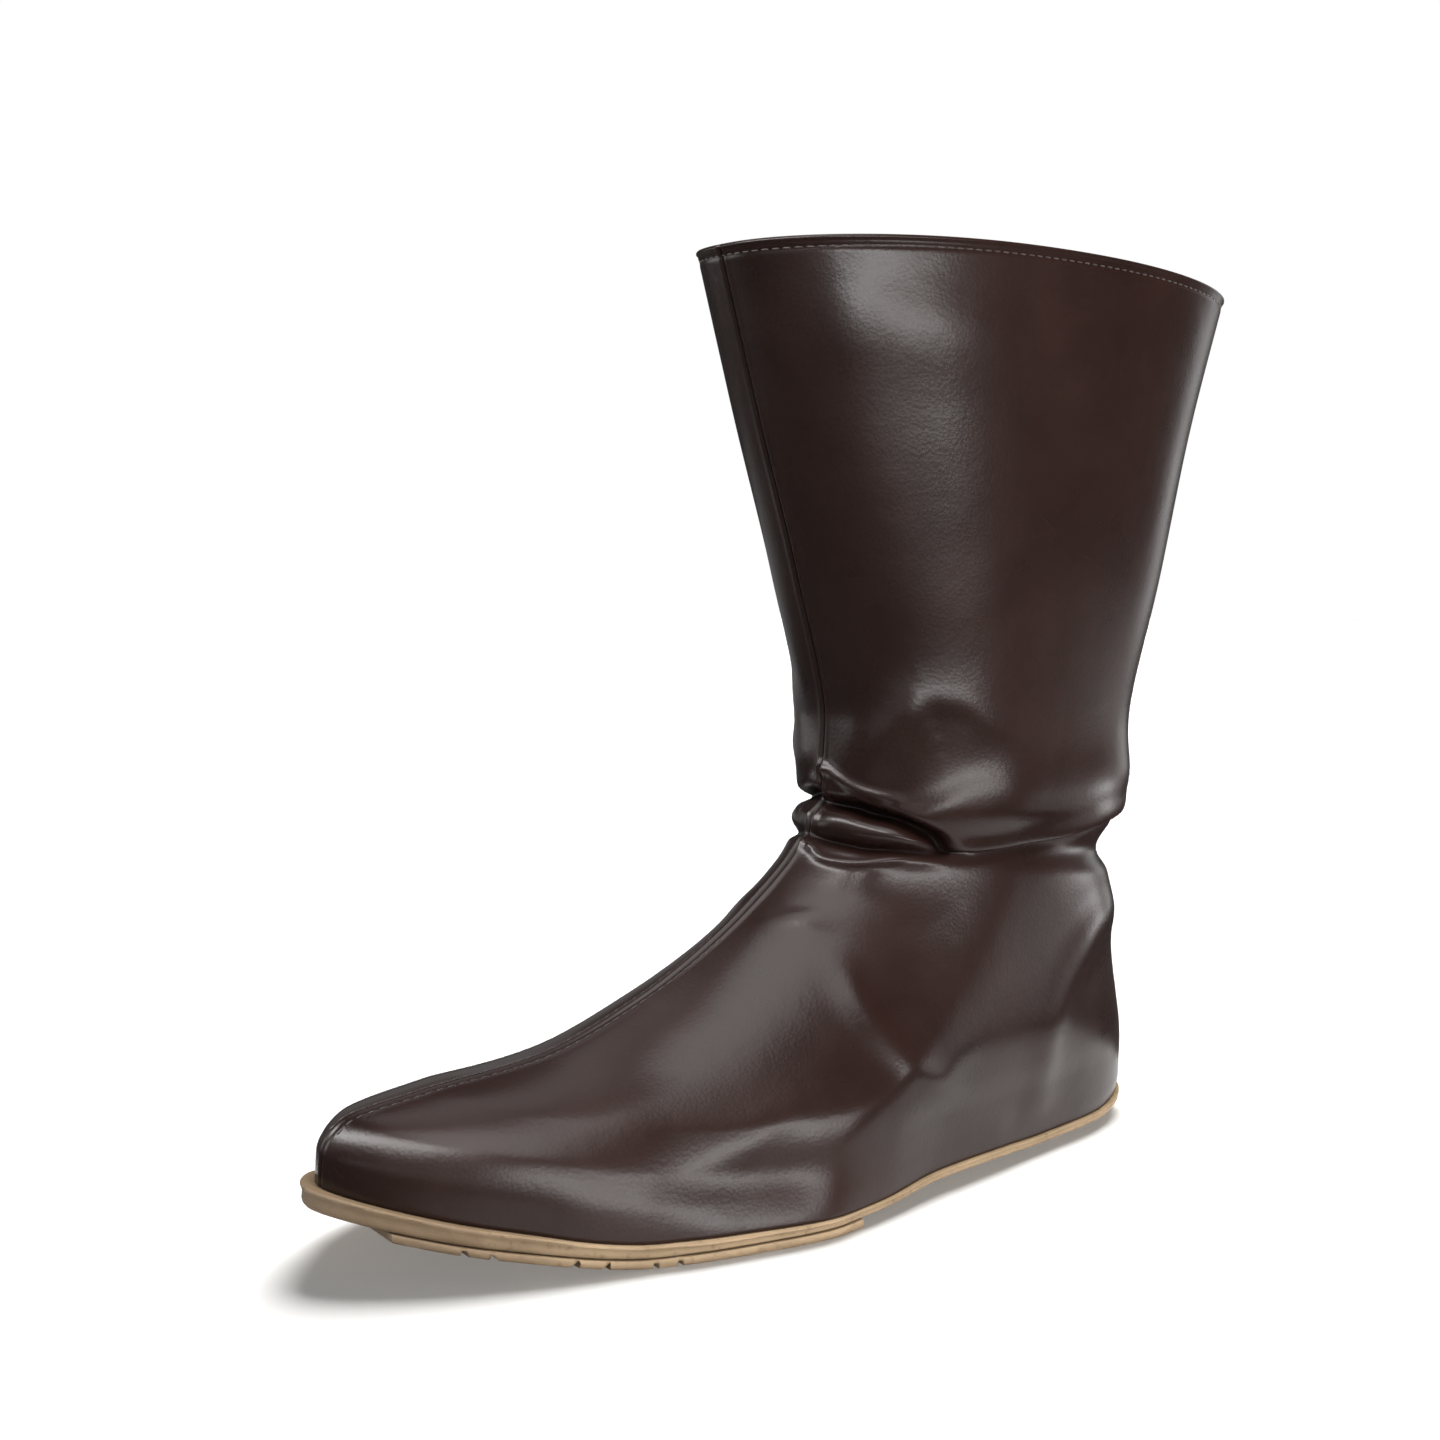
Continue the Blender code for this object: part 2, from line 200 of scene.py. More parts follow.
LEG_FOLDS = (
    Fold("deep crease", OUTER, -5.2, 1.7, (
        (-1, 111, 0.2), (5, 110.5, 0.6), (12, 110, 0.9), (18, 108.5, 1.0), (25, 107, 1.0),
        (31, 105, 1.0), (38, 102, 1.0), (44, 98.5, 0.6), (48, 97, 0.0))),
    Fold("lower crease", OUTER, -2.8, 1.7, (
        (2, 101.5, 0.7), (10, 100.5, 1.0), (16, 99.5, 1.0), (22, 98.5, 1.0), (30, 98, 0.9),
        (38, 97, 0.8), (46, 96.5, 0.5), (54, 96.5, 0.0))),
    Fold("roll between the creases", OUTER, 1.3, 2.6, (
        (2, 106, 0.5), (10, 105.5, 1.0), (20, 103.5, 1.0), (30, 101.5, 0.7), (40, 98.5, 0.1))),
    Fold("lit edge over the crease", OUTER, 1.1, 1.5, (
        (3, 120.5, 0.5), (6, 119, 1.0), (15, 115, 1.0), (22, 113.5, 0.7), (28, 112.5, 0.0))),
    Fold("slouch of the leg", OUTER, 2.5, 10.5, (
        (20, 97, 0.3), (28, 100, 0.8), (37, 104, 1.0), (48, 109, 1.0), (60, 112, 1.0), (72, 113, 0.8),
        (85, 113, 0.7), (100, 114, 0.8), (165, 115, 0.8))),
    Fold("fold out of the crease", OUTER, 0.8, 4.5, (
        (22, 109.5, 0.4), (29, 108, 1.0), (36, 110, 1.0), (44, 114, 0.6), (52, 118, 0.1))),
    Fold("arch", OUTER, 1.5, 11.0, (
        (10, 118, 0.8), (19, 129, 1.3), (28, 138, 1.3), (37, 142, 0.7), (46, 141, 0.6), (56, 136, 0.6),
        (66, 131, 0.5), (80, 126, 0.2))),
    Fold("edge of the arch", OUTER, 0.4, 4.0, (
        (21, 131, 0.4), (28, 138, 1.0), (36, 142, 1.0), (43, 141.5, 1.0), (52, 136.5, 0.9),
        (62, 131, 0.5))),
    Fold("edge of the foot", OUTER, 1.0, 1.1, (
        (5, 98, 1.0), (11, 95, 1.0), (20, 94, 1.0), (28, 94.5, 0.7), (34, 95, 0.0))),
    Fold("cushion under the crease", OUTER, 0.5, 2.6, ((28, 96, 0.6), (36, 95.5, 1.0), (44, 95, 0.4))),
    Fold("wrinkle on the instep", OUTER, 0.7, 2.2, ((9, 79, 0.5), (18, 80, 1.0), (27, 78, 0.2))),
    Fold("hollow over the wrinkle", OUTER, -0.5, 4.5, (
        (7, 86, 0.5), (22, 87, 1.0), (42, 84, 0.5), (58, 80, 0.0))),
    Fold("pinch knot", OUTER, 1.2, 1.8, ((0, 121, 1.0), (2, 120, 1.0))),
    Fold("upper pucker", OUTER, 1.0, 2.4, ((-3, 116, 1.0), (-1, 114, 1.0))),
    Fold("middle pucker", OUTER, 0.8, 1.8, ((-6, 107, 1.0), (-3, 106, 1.0))),
    Fold("lower pucker", OUTER, 0.9, 1.6, ((1, 99, 1.0), (4, 98.5, 1.0))),
    Fold("collar swell", OUTER, 0.9, 13.0, (
        (20, 242, 0.3), (45, 246, 1.0), (75, 246, 1.0), (105, 243, 0.2))),
    Fold("inner deep crease", INNER, -4.5, 1.8, (
        (2, 113, 0.6), (10, 111.5, 0.9), (22, 109, 1.0), (36, 105.5, 1.0), (50, 102, 0.7),
        (60, 100, 0.0))),
    Fold("inner slouch of the leg", INNER, 2.6, 11.0, (
        (16, 115, 0.4), (34, 112, 0.9), (52, 109, 1.0), (80, 112, 0.8), (100, 114, 0.8), (120, 115, 0.8),
        (165, 115, 0.8))),
    Fold("inner fan, low", INNER, 1.3, 5.0, (
        (8, 121, 0.6), (26, 128, 1.0), (48, 133, 1.0), (68, 135, 0.2))),
    Fold("inner fan, high", INNER, 1.2, 5.5, (
        (8, 126, 0.6), (22, 139, 1.0), (38, 152, 0.8), (50, 160, 0.0))),
    Fold("inner roll", INNER, 1.3, 2.6, (
        (2, 106, 0.5), (14, 104.5, 1.0), (30, 100.5, 0.8), (44, 97.5, 0.1))),
    Fold("inner lower crease", INNER, -2.4, 1.6, (
        (2, 101.5, 0.7), (14, 100, 1.0), (32, 97.5, 0.8), (46, 96, 0.0))),
)


FOOT_FOLDS = (
    Fold("instep ridge", OUTER, 1.4, 5.0, (
        (141, 74, 0.0), (139, 66, 0.4), (138, 58.5, 0.8), (134, 49, 1.0), (125, 39, 0.8), (107, 27, 0.6),
        (84, 15, 0.3))),
    Fold("side hollow", OUTER, -4.4, 12.5, (
        (250, 38, 0.0), (232, 33, 0.15), (215, 27, 0.45), (203, 24, 0.85), (190, 22, 1.0),
        (174, 21, 0.95),
        (160, 22, 0.6), (146, 24, 0.2), (134, 26, 0.0))),
    Fold("swell over the sole", OUTER, 1.6, 9.0, (
        (240, 12, 0.0), (228, 11, 0.5), (216, 9, 0.5), (204, 7, 0.3), (190, 5, 0.4), (165, 4, 0.7),
        (145, 4, 0.4), (120, 6, 0.0))),
    Fold("heel counter", OUTER, 2.4, 7.5, (
        (26, 71, 0.8), (36, 69, 1.0), (46, 64, 1.0), (58, 52, 0.7), (64, 36, 0.6), (64, 18, 0.4))),
    Fold("inner instep ridge", INNER, 1.3, 5.5, (
        (146, 80, 0.4), (140, 64, 1.0), (132, 50, 1.0), (118, 38, 0.9), (100, 28, 0.2))),
    Fold("inner side hollow", INNER, -2.0, 13.0, (
        (245, 36, 0.0), (222, 32, 0.8), (200, 30, 1.0), (170, 30, 0.8), (145, 32, 0.1))),
    Fold("inner heel counter", INNER, 1.0, 9.0, (
        (42, 78, 0.4), (58, 62, 1.0), (62, 40, 1.0), (62, 20, 0.5))),
)
SEAM_CLEAR = 7.0            # the foot's folds fade out over this girth towards the front seam


class Lip(NamedTuple):
    """The slouched leg's lower edge, which hangs over the foot along one side to the back seam."""

    side: float
    path: tuple


LIPS = (
    Lip(OUTER, (
        (40, 97.5, 0.0), (47, 97.2, 0.6), (54, 97.2, 1.0), (62, 97.6, 1.0), (71, 98.5, 1.0),
        (81, 99, 1.0),
        (91, 100, 1.0), (100, 101.5, 1.0), (115, 103, 0.9), (135, 104, 0.8), (165, 104.5, 0.8))),
    Lip(INNER, (
        (42, 98, 0.0), (52, 98, 0.7), (64, 98.5, 1.0), (80, 99.5, 1.0), (100, 101.5, 1.0),
        (115, 103, 0.9), (135, 104, 0.8), (165, 104.5, 0.8))),
)


class LipPart(NamedTuple):
    """One bump of a lip's profile: its push out and up, its place above the lip's line, its width."""

    out: float
    up: float
    above: float
    width: float


LIP_PARTS = (
    LipPart(0.9, 0.0, 2.5, 2.6),    # the leg's edge stands out
    LipPart(-1.0, 0.0, -1.6, 2.0),  # the foot goes in under it
    LipPart(0.0, -1.7, 1.4, 1.9),   # the edge sags over the foot
    LipPart(0.0, 1.0, -1.3, 1.4),   # the foot rises behind the edge
)
LIP_SHADE = 2.0             # the lip's shadow line, as dark as a crease this deep
LIP_SHADE_WIDTH = 1.0
SHARP_WIDTH = 2.0           # folds narrower than this are creases that get painted shade
FOLD_STEPS = 4              # straight steps from one point of a fold's path to the next


class SeamRow(NamedTuple):
    """The front seam at one row of UPPER_ROWS: depth of its line and height of its two ridges."""

    level: float
    line: float
    ridge: float


SEAM_ROWS = (
    SeamRow(0.0, 0.25, 0.1),
    SeamRow(2.0, 0.35, 0.2),
    SeamRow(4.5, 0.45, 0.3),
    SeamRow(5.8, 0.7, 0.7),
    SeamRow(7.3, 0.8, 0.9),
    SeamRow(9.3, 0.7, 0.6),
    SeamRow(10.0, 0.7, 0.3),
    SeamRow(13.0, 0.6, 0.2),
)
SEAM_LINE_WIDTH = 0.5
SEAM_RIDGE_PLACE = 1.5
SEAM_RIDGE_WIDTH = 0.9
SEAM_SHADE = 4.0            # a seam's line is as dark as a crease this many times as deep
BACK_SEAM_LINE = 0.45
BACK_SEAM_RIDGE = 0.25

# Collar, in distances out from and up from the leather's top edge
RIM_PROFILE = (
    (0.25, 0.5), (0.1, 1.0), (-0.45, 1.35), (-1.1, 1.4), (-1.7, 1.1), (-2.05, 0.5), (-2.1, -0.4),
    (-2.1, -2.5), (-2.1, -4.5), (-2.1, -6.5), (-1.9, -7.0), (-1.6, -7.2),
)
RIM_SLOPE_RINGS = 3         # the rim goes on in the slope of this many rings under it
TUCK_IN = 0.9               # the leather's lower edge turns in this far
TUCK_DROP = 0.24
HEM_LINE_DROP = 1.7
HEM_LINE_DEPTH = 0.3
HEM_LINE_WIDTH = 0.5
COLLAR_RISE = 47.0          # the leather's run from the row "calf" to the collar


class LiningRow(NamedTuple):
    """How far the lining lies inside the leather's outside at one row of UPPER_ROWS."""

    level: float
    inset: float


LINING_ROWS = (
    LiningRow(0.0, 2.2),
    LiningRow(0.5, 3.0),
    LiningRow(1.2, 5.8),
    LiningRow(5.0, 5.8),
    LiningRow(7.0, 7.0),
    LiningRow(9.4, 7.0),
    LiningRow(10.2, 5.0),
    LiningRow(11.0, 2.2),
    LiningRow(13.0, 1.6),
)
LINING_RINGS = 40
LINING_TOP_DROP = 8.0

STITCH_FOOT_LEVELS = (1.7, 5.9)
STITCH_COLUMN = 2.1         # the seam's stitches run this far to each side of it

# Eased edges of the sole's layers: how far they are set in, and the part of the layer's height
RUNNER_EDGE = (
    (1.0, 0.0), (0.4, 0.07), (0.1, 0.2), (0.1, 0.38), (0.18, 0.55), (0.05, 0.7), (-0.2, 0.82),
    (-0.15, 0.91), (0.25, 1.0),
)
TREAD_EDGE = ((0.8, 0.0), (0.3, 0.08), (0.05, 0.25), (0.0, 0.5), (0.05, 0.85), (0.3, 1.0))
SOCK_EDGE = ((0.3, 0.0), (0.0, 0.3), (0.1, 0.75), (0.5, 0.95), (1.0, 1.0))
RUNNER_STATIONS = 220
TREAD_STATIONS = 240
SOCK_STATIONS = 90
ACROSS = 26
GROOVE_WALL = 0.25
HALF_SOLE_WAVE = 0.6        # part of the runner sole's edge wave
WAVE_PARTS = (0.05, 0.95)   # parts of the height past which an edge's wave fades no more
RIB_MARGIN = 0.14           # part of the width at each edge that the fine ribs leave plain
MERGE_DISTANCE = 1e-6
SHARP_ANGLE = math.radians(38.0)


class EdgeWave(NamedTuple):
    """One of the waves of a trimmed edge: its height, run for each radian, start and shift by side."""

    height: float
    run: float
    start: float
    shift: float


EDGE_WAVES = (
    EdgeWave(0.5, 5.1, 0.0, 1.3),
    EdgeWave(0.3, 2.3, 0.7, 1.0),
    EdgeWave(0.2, 0.9, 0.0, 2.1),
)

# Bands of the cloths and the thread. Threads lie about 0.9 mm apart in the lining and 1.2 mm in the
# sock, and a thread's twist takes about 1 mm. All are drawn coarser so that they show
LINING_BANDS = 5.65
SOCK_BANDS = 7.54
TWIST_BANDS = 3.14
WAVE_TEXTURE_TURN = 20.0    # radians that a wave texture of scale 1 turns in one metre


def linear(hex_colour):
    """Linear RGB of an sRGB hex colour."""
    channels = [int(hex_colour[i:i + 2], 16) / 255.0 for i in (0, 2, 4)]
    return tuple(c / 12.92 if c <= 0.04045 else ((c + 0.055) / 1.055) ** 2.4 for c in channels)


class UpperSettings(bpy.types.PropertyGroup):
    """Sizes and colours of the upper."""

    fold_strength: bpy.props.FloatProperty(
        name="Fold strength", description="Part of the folds' modelled depth that is kept",
        default=1.0, min=0.0, max=1.5, subtype="FACTOR")
    leather_colour: bpy.props.FloatVectorProperty(
        name="Leather", description="Main colour of the leather-look skin",
        default=linear("1E110E"), size=3, min=0.0, max=1.0, subtype="COLOR")
    worn_colour: bpy.props.FloatVectorProperty(
        name="Rubbed leather", description="Paler brown where the skin is stretched or rubbed",
        default=linear("261612"), size=3, min=0.0, max=1.0, subtype="COLOR")
    lining_colour: bpy.props.FloatVectorProperty(
        name="Lining", description="Main colour of the woven lining",
        default=linear("2E211D"), size=3, min=0.0, max=1.0, subtype="COLOR")


class StitchSettings(bpy.types.PropertyGroup):
    """Sizes and colours of the stitches."""

    pitch: bpy.props.FloatProperty(
        name="Pitch", description="Distance from one stitch to the next",
        default=3.2 * MM, min=1.0 * MM, unit="LENGTH")
    length: bpy.props.FloatProperty(
        name="Length", description="Length of thread that shows in one stitch",
        default=2.3 * MM, min=0.5 * MM, unit="LENGTH")
    thread: bpy.props.FloatProperty(
        name="Thread", description="Width of the thread",
        default=0.5 * MM, min=0.1 * MM, unit="LENGTH")
    hem_colour: bpy.props.FloatVectorProperty(
        name="Hem thread", description="Main colour of the thread in the collar's hem",
        default=linear("3C2A25"), size=3, min=0.0, max=1.0, subtype="COLOR")
    seam_colour: bpy.props.FloatVectorProperty(
        name="Seam thread", description="Main colour of the thread beside the front seam",
        default=linear("1C100E"), size=3, min=0.0, max=1.0, subtype="COLOR")


class SoleSettings(bpy.types.PropertyGroup):
    """Sizes and colours of the sole."""

    wave: bpy.props.FloatProperty(
        name="Edge wave", description="How far the trimmed edge of the sole wanders in and out",
        default=0.45 * MM, min=0.0, unit="LENGTH")
    rib_pitch: bpy.props.FloatProperty(
        name="Rib pitch", description="Distance between the fine ribs of the tread",
        default=4.2 * MM, min=2.0 * MM, unit="LENGTH")
    rib_depth: bpy.props.FloatProperty(
        name="Rib depth", description="Depth of the fine ribs of the tread",
        default=0.5 * MM, min=0.0, unit="LENGTH")
    rubber_colour: bpy.props.FloatVectorProperty(
        name="Rubber", description="Main colour of the moulded rubber",
        default=linear("927C60"), size=3, min=0.0, max=1.0, subtype="COLOR")
    stain_colour: bpy.props.FloatVectorProperty(
        name="Stained rubber", description="Browner rubber in spots, in cloudy patches and at the toe",
        default=linear("6E5A42"), size=3, min=0.0, max=1.0, subtype="COLOR")
    sock_colour: bpy.props.FloatVectorProperty(
        name="Sock", description="Main colour of the insole's cloth",
        default=linear("33261F"), size=3, min=0.0, max=1.0, subtype="COLOR")


class StageSettings(bpy.types.PropertyGroup):
    """Camera and floor."""

    lens: bpy.props.FloatProperty(
        name="Lens", description="Focal length of the camera, in millimetres", default=48.45, min=10.0)
    camera_place: bpy.props.FloatVectorProperty(
        name="Camera", description="Place of the camera",
        default=(0.44554, -0.35382, 0.19001), size=3, subtype="XYZ", unit="LENGTH")
    camera_turn: bpy.props.FloatProperty(
        name="Turn", description="Turn of the camera about the upright",
        default=math.radians(54.544), subtype="ANGLE")
    camera_tilt: bpy.props.FloatProperty(
        name="Tilt", description="How far the camera looks down",
        default=math.radians(5.535), subtype="ANGLE")
    camera_roll: bpy.props.FloatProperty(
        name="Roll", description="Roll of the camera about its own axis",
        default=math.radians(0.36), subtype="ANGLE")
    floor_colour: bpy.props.FloatVectorProperty(
        name="Floor", description="Colour of the floor",
        default=linear("F4F3F1"), size=3, min=0.0, max=1.0, subtype="COLOR")


def smooth(xs, ys, at):
    """Values of the monotone cubic through the points, which never swings past its neighbours."""
    xs = np.asarray(xs, float)
    ys = np.asarray(ys, float)
    at = np.asarray(at, float)
    step = np.diff(xs)
    slope = np.diff(ys) / step
    tangent = np.concatenate(([slope[0]], np.zeros(len(slope) - 1), [slope[-1]]))
    product = slope[:-1] * slope[1:]
    rising = product > 0
    total = np.where(rising, slope[:-1] + slope[1:], 1.0)
    tangent[1:-1] = np.where(rising, 2.0 * product / total, 0.0)
    i = np.clip(np.searchsorted(xs, at) - 1, 0, len(step) - 1)
    f = (at - xs[i]) / step[i]
    from_ends = ys[i] * (1 + 2 * f) * (1 - f) ** 2 + ys[i + 1] * f * f * (3 - 2 * f)
    from_tangents = tangent[i] * f * (1 - f) ** 2 - tangent[i + 1] * f * f * (1 - f)
    return from_ends + step[i] * from_tangents


def column(rows, by, name, at):
    """A column of a table of rows, smoothly between them."""
    return smooth([getattr(row, by) for row in rows], [getattr(row, name) for row in rows], at)


def ease(edge, value):
    """A soft step from 0 to 1 as the value goes from 0 to the edge."""
    part = np.clip(value / edge, 0.0, 1.0)
    return part * part * (3.0 - 2.0 * part)


def sole_half(side, share):
    """Half width of the sole on its outer or inner edge, round at both ends."""
    outer = np.asarray(side) > 0
    outer_half = column(SOLE_ROWS, "share", "outer_half", share)
    inner_half = column(SOLE_ROWS, "share", "inner_half", share)
    half = np.where(outer, outer_half, inner_half)
    toe_cap = np.where(outer, OUTER_TOE_CAP_SHARE, INNER_TOE_CAP_SHARE)
    heel_left = 1.0 - np.clip(share / HEEL_CAP_SHARE, 0.0, 1.0)
    toe_left = 1.0 - np.clip((1.0 - share) / toe_cap, 0.0, 1.0)
    toe_power = np.where(outer, OUTER_TOE_POWER, INNER_TOE_POWER)
    return half * np.sqrt(1.0 - heel_left ** 2) * (1.0 - toe_left ** 2) ** toe_power


def sole_edge(side, share, inset):
    """X and ahead of the sole's outline, set in by about the inset all round."""
    middle = column(SOLE_ROWS, "share", "middle_x", share)
    x = middle + side * sole_half(side, share) * (1.0 - inset / BALL_HALF)
    ahead = inset + share * (SOLE_LENGTH - 2.0 * inset)
    return x, ahead


def runner_under(ahead):
    """Height of the runner sole's underside, with its arch and toe spring."""
    return column(SOLE_ROWS, "share", "under_z", np.clip(ahead / SOLE_LENGTH, 0.0, 1.0))


def runner_top(ahead):
    """Height of the runner sole's upper face."""
    share = np.clip(ahead / SOLE_LENGTH, 0.0, 1.0)
    return runner_under(ahead) + column(SOLE_ROWS, "share", "thickness", share)


def upper_skin(level, turn):
    """Smooth outside of the upper at row numbers and angles, 0 at the back seam, pi at the front."""
    numbers = range(len(UPPER_ROWS))
    row = {}
    for name in UpperRow._fields[1:]:
        row[name] = smooth(numbers, [getattr(entry, name) for entry in UPPER_ROWS], level)
    share = 0.5 - 0.5 * np.cos(turn)
    side = np.where(np.sin(turn) >= 0.0, OUTER, INNER)
    ahead = row["back_ahead"] + (row["front_ahead"] - row["back_ahead"]) * share

    # Sides: the sole's outline low down, an oval with blunter ends higher up
    roundness = np.where(share > 0.5, row["front_round"], row["back_round"])
    oval = (1.0 - np.abs(np.cos(turn)) ** roundness) ** (1.0 / roundness)
    half = np.where(side > 0, row["outer_half"], row["inner_half"])
    foot_x, _ = sole_edge(side, share, FEATHER_INSET)
    x = row["foot_share"] * foot_x + (1.0 - row["foot_share"]) * (row["middle_x"] + side * half * oval)

    # Height: straight between the two seams, bent to the sole low down, lifted at the sides
    first = UPPER_ROWS[0]
    feather_ahead = first.back_ahead + (first.front_ahead - first.back_ahead) * share
    feather_bend = runner_top(feather_ahead) + FIT_GAP - first.back_z
    feather_bend = feather_bend - (first.front_z - first.back_z) * share
    z = row["back_z"] + (row["front_z"] - row["back_z"]) * share
    z = z + row["foot_share"] * feather_bend + row["side_rise"] * np.sin(turn) ** 2
    return np.stack((x, -ahead, z), axis=-1)


def ring_columns(level):
    """Points of one smooth ring at its columns, and their girth, negative on the inner side."""
    swing = math.pi * (0.5 - 0.5 * np.cos(np.linspace(0.0, math.pi, RING_SAMPLES)))
    halves = {}
    for side in (OUTER, INNER):
        turns = math.pi - side * swing
        points = upper_skin(np.full(len(turns), level), turns)
        run = np.concatenate(([0.0], np.cumsum(np.linalg.norm(np.diff(points, axis=0), axis=1))))
        middle = np.linspace(FRONT_COLUMNS[-1], run[-1] - BACK_COLUMNS[-1], MIDDLE_COLUMNS + 2)[1:-1]
        girth = np.concatenate((FRONT_COLUMNS, middle, run[-1] - BACK_COLUMNS[::-1]))
        halves[side] = (np.interp(girth, run, turns), girth)
    turns = np.concatenate((halves[OUTER][0][::-1], halves[INNER][0][1:-1]))
    girth = np.concatenate((halves[OUTER][1][::-1], -halves[INNER][1][1:-1]))
    to_back = np.concatenate((halves[OUTER][1][-1] - halves[OUTER][1][::-1],
                              halves[INNER][1][-1] - halves[INNER][1][1:-1]))
    return upper_skin(np.full(len(turns), level), turns), girth, to_back


def smooth_grid(levels):
    """Smooth rings at many levels, with girth, distance from the back seam, and outward normals."""
    rings = [ring_columns(level) for level in levels]
    points = np.stack([ring[0] for ring in rings])
    girth = np.stack([ring[1] for ring in rings])
    to_back = np.stack([ring[2] for ring in rings])
    round_it = np.roll(points, -1, axis=1) - np.roll(points, 1, axis=1)
    up_it = np.gradient(points, axis=0)
    normals = np.cross(up_it, round_it)
    normals /= np.linalg.norm(normals, axis=2, keepdims=True)
    return points, girth, to_back, normals


def along_fold(path, girth, height):
    """Distance of many points from a fold's path, and the part of its rise kept there."""
    knots = np.asarray(path, float)
    numbers = np.arange(len(knots))
    fine = np.linspace(0.0, len(knots) - 1, FOLD_STEPS * (len(knots) - 1) + 1)
    knots = np.stack([smooth(numbers, knots[:, i], fine) for i in range(3)], axis=1)
    nearest = np.full(girth.shape, np.inf)
    kept = np.zeros(girth.shape)
    for (g0, h0, k0), (g1, h1, k1) in zip(knots, knots[1:]):
        across, up = g1 - g0, h1 - h0
        part = ((girth - g0) * across + (height - h0) * up) / (across ** 2 + up ** 2)
        part = np.clip(part, 0.0, 1.0)
        gap = np.hypot(girth - g0 - part * across, height - h0 - part * up)
        nearer = gap < nearest
        nearest = np.where(nearer, gap, nearest)
        kept = np.where(nearer, k0 + (k1 - k0) * part, kept)
    return nearest, kept


def bump(distance, width):
    """A soft bump, 1 at no distance."""
    return np.exp(-(distance / width) ** 2)


def folds_and_lips(points, girth):
    """How far the folds push the leather out and up, and the shade painted in creases and lips."""
    out = np.zeros(girth.shape)
    up = np.zeros(girth.shape)
    crease = np.zeros(girth.shape)
    ahead, height = -points[..., 1], points[..., 2]
    for fold in LEG_FOLDS:
        distance, kept = along_fold(fold.path, fold.side * girth, height)
        push = fold.rise * kept * bump(distance, fold.width)
        out += push
        # painted shade in a sharp crease, as deep as the crease is
        if fold.width < SHARP_WIDTH:
            crease -= np.minimum(push, 0.0)
    for fold in FOOT_FOLDS:
        distance, kept = along_fold(fold.path, ahead, height)
        out += fold.rise * kept * bump(distance, fold.width) * ease(SEAM_CLEAR, fold.side * girth)
    for lip in LIPS:
        knots = np.asarray(lip.path, float)
        place = np.clip(lip.side * girth, knots[0, 0], knots[-1, 0])
        line = smooth(knots[:, 0], knots[:, 1], place)
        kept = smooth(knots[:, 0], knots[:, 2], place)
        above = height - line
        for part in LIP_PARTS:
            push = kept * bump(above - part.above, part.width)
            out += part.out * push
            up += part.up * push
        # painted shadow line along the lip
        crease += kept * LIP_SHADE * bump(above, LIP_SHADE_WIDTH)
    return out, up, crease


def seams(levels, girth, to_back):
    """How far the front and back seams push the leather out."""
    line = column(SEAM_ROWS, "level", "line", levels)[:, None]
    ridge = column(SEAM_ROWS, "level", "ridge", levels)[:, None]
    beside = np.abs(girth)
    out = ridge * bump(beside - SEAM_RIDGE_PLACE, SEAM_RIDGE_WIDTH)
    out -= line * bump(beside, SEAM_LINE_WIDTH)
    out += BACK_SEAM_RIDGE * bump(to_back - SEAM_RIDGE_PLACE, SEAM_RIDGE_WIDTH)
    return out - BACK_SEAM_LINE * bump(to_back, SEAM_LINE_WIDTH)


def leather_levels():
    """Row numbers of the leather's rings, closer together at the ankle and under the collar."""
    levels = []
    for number, count in enumerate(ROWS_BETWEEN):
        levels += list(number + np.arange(count) / count)
    last_drop = HEM_DROPS[0] / COLLAR_RISE
    levels = [level for level in levels if level < COLLAR - last_drop - LEVEL_CLEAR]
    levels += [COLLAR - drop / COLLAR_RISE for drop in HEM_DROPS]
    return np.array(levels + [float(COLLAR)])


def leather_grid(strength):
    """Folded outside of the leather: its rings, levels and normals, and its painted crease shade."""
    levels = leather_levels()
    points, girth, to_back, normals = smooth_grid(levels)
    out, up, crease = folds_and_lips(points, girth)
    sewn = seams(levels, girth, to_back)
    drop = (COLLAR - levels) * COLLAR_RISE
    sewn -= HEM_LINE_DEPTH * bump(drop - HEM_LINE_DROP, HEM_LINE_WIDTH)[:, None]
    folded = points + normals * (strength * out + sewn)[..., None]
    folded[..., 2] += strength * up
    # painted shade in the seams and the hem line by their depth, added to that of the creases and lips
    crease = strength * crease + SEAM_SHADE * np.maximum(-sewn, 0.0)
    return folded, levels, normals, crease


def shell_rings(strength):
    """All rings of the upper's closed shell, the count of leather rings, and their painted shade."""
    leather, _, normals, crease = leather_grid(strength)
    rise = leather[-1] - leather[-1 - RIM_SLOPE_RINGS]
    rise /= np.linalg.norm(rise, axis=1, keepdims=True)
    rim = [leather[-1] + normals[-1] * outward + rise * upward for outward, upward in RIM_PROFILE]
    lining_levels = np.linspace(COLLAR - LINING_TOP_DROP / COLLAR_RISE, 0.0, LINING_RINGS)
    smooth_points, _, _, lining_normals = smooth_grid(lining_levels[::-1])
    inset = column(LINING_ROWS, "level", "inset", lining_levels[::-1])
    lining = (smooth_points - lining_normals * inset[:, None, None])[::-1]
    tuck = leather[0] - normals[0] * TUCK_IN - np.array((0.0, 0.0, TUCK_DROP))
    rings = np.concatenate((tuck[None], leather, np.stack(rim), lining))
    # painted shade of the creases, lips and seams on the leather's rings, none on the tuck, rim and lining
    depth = np.zeros(rings.shape[:2])
    depth[1:len(leather) + 1] = crease
    return rings, 1 + len(leather) + len(rim), depth


def packed(points):
    """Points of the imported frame, in metres, from local points in millimetres."""
    return ((np.asarray(points, float) + np.array((FOOT_LINE_X, HEEL_BACK_Y, 0.0))) * MM).tolist()


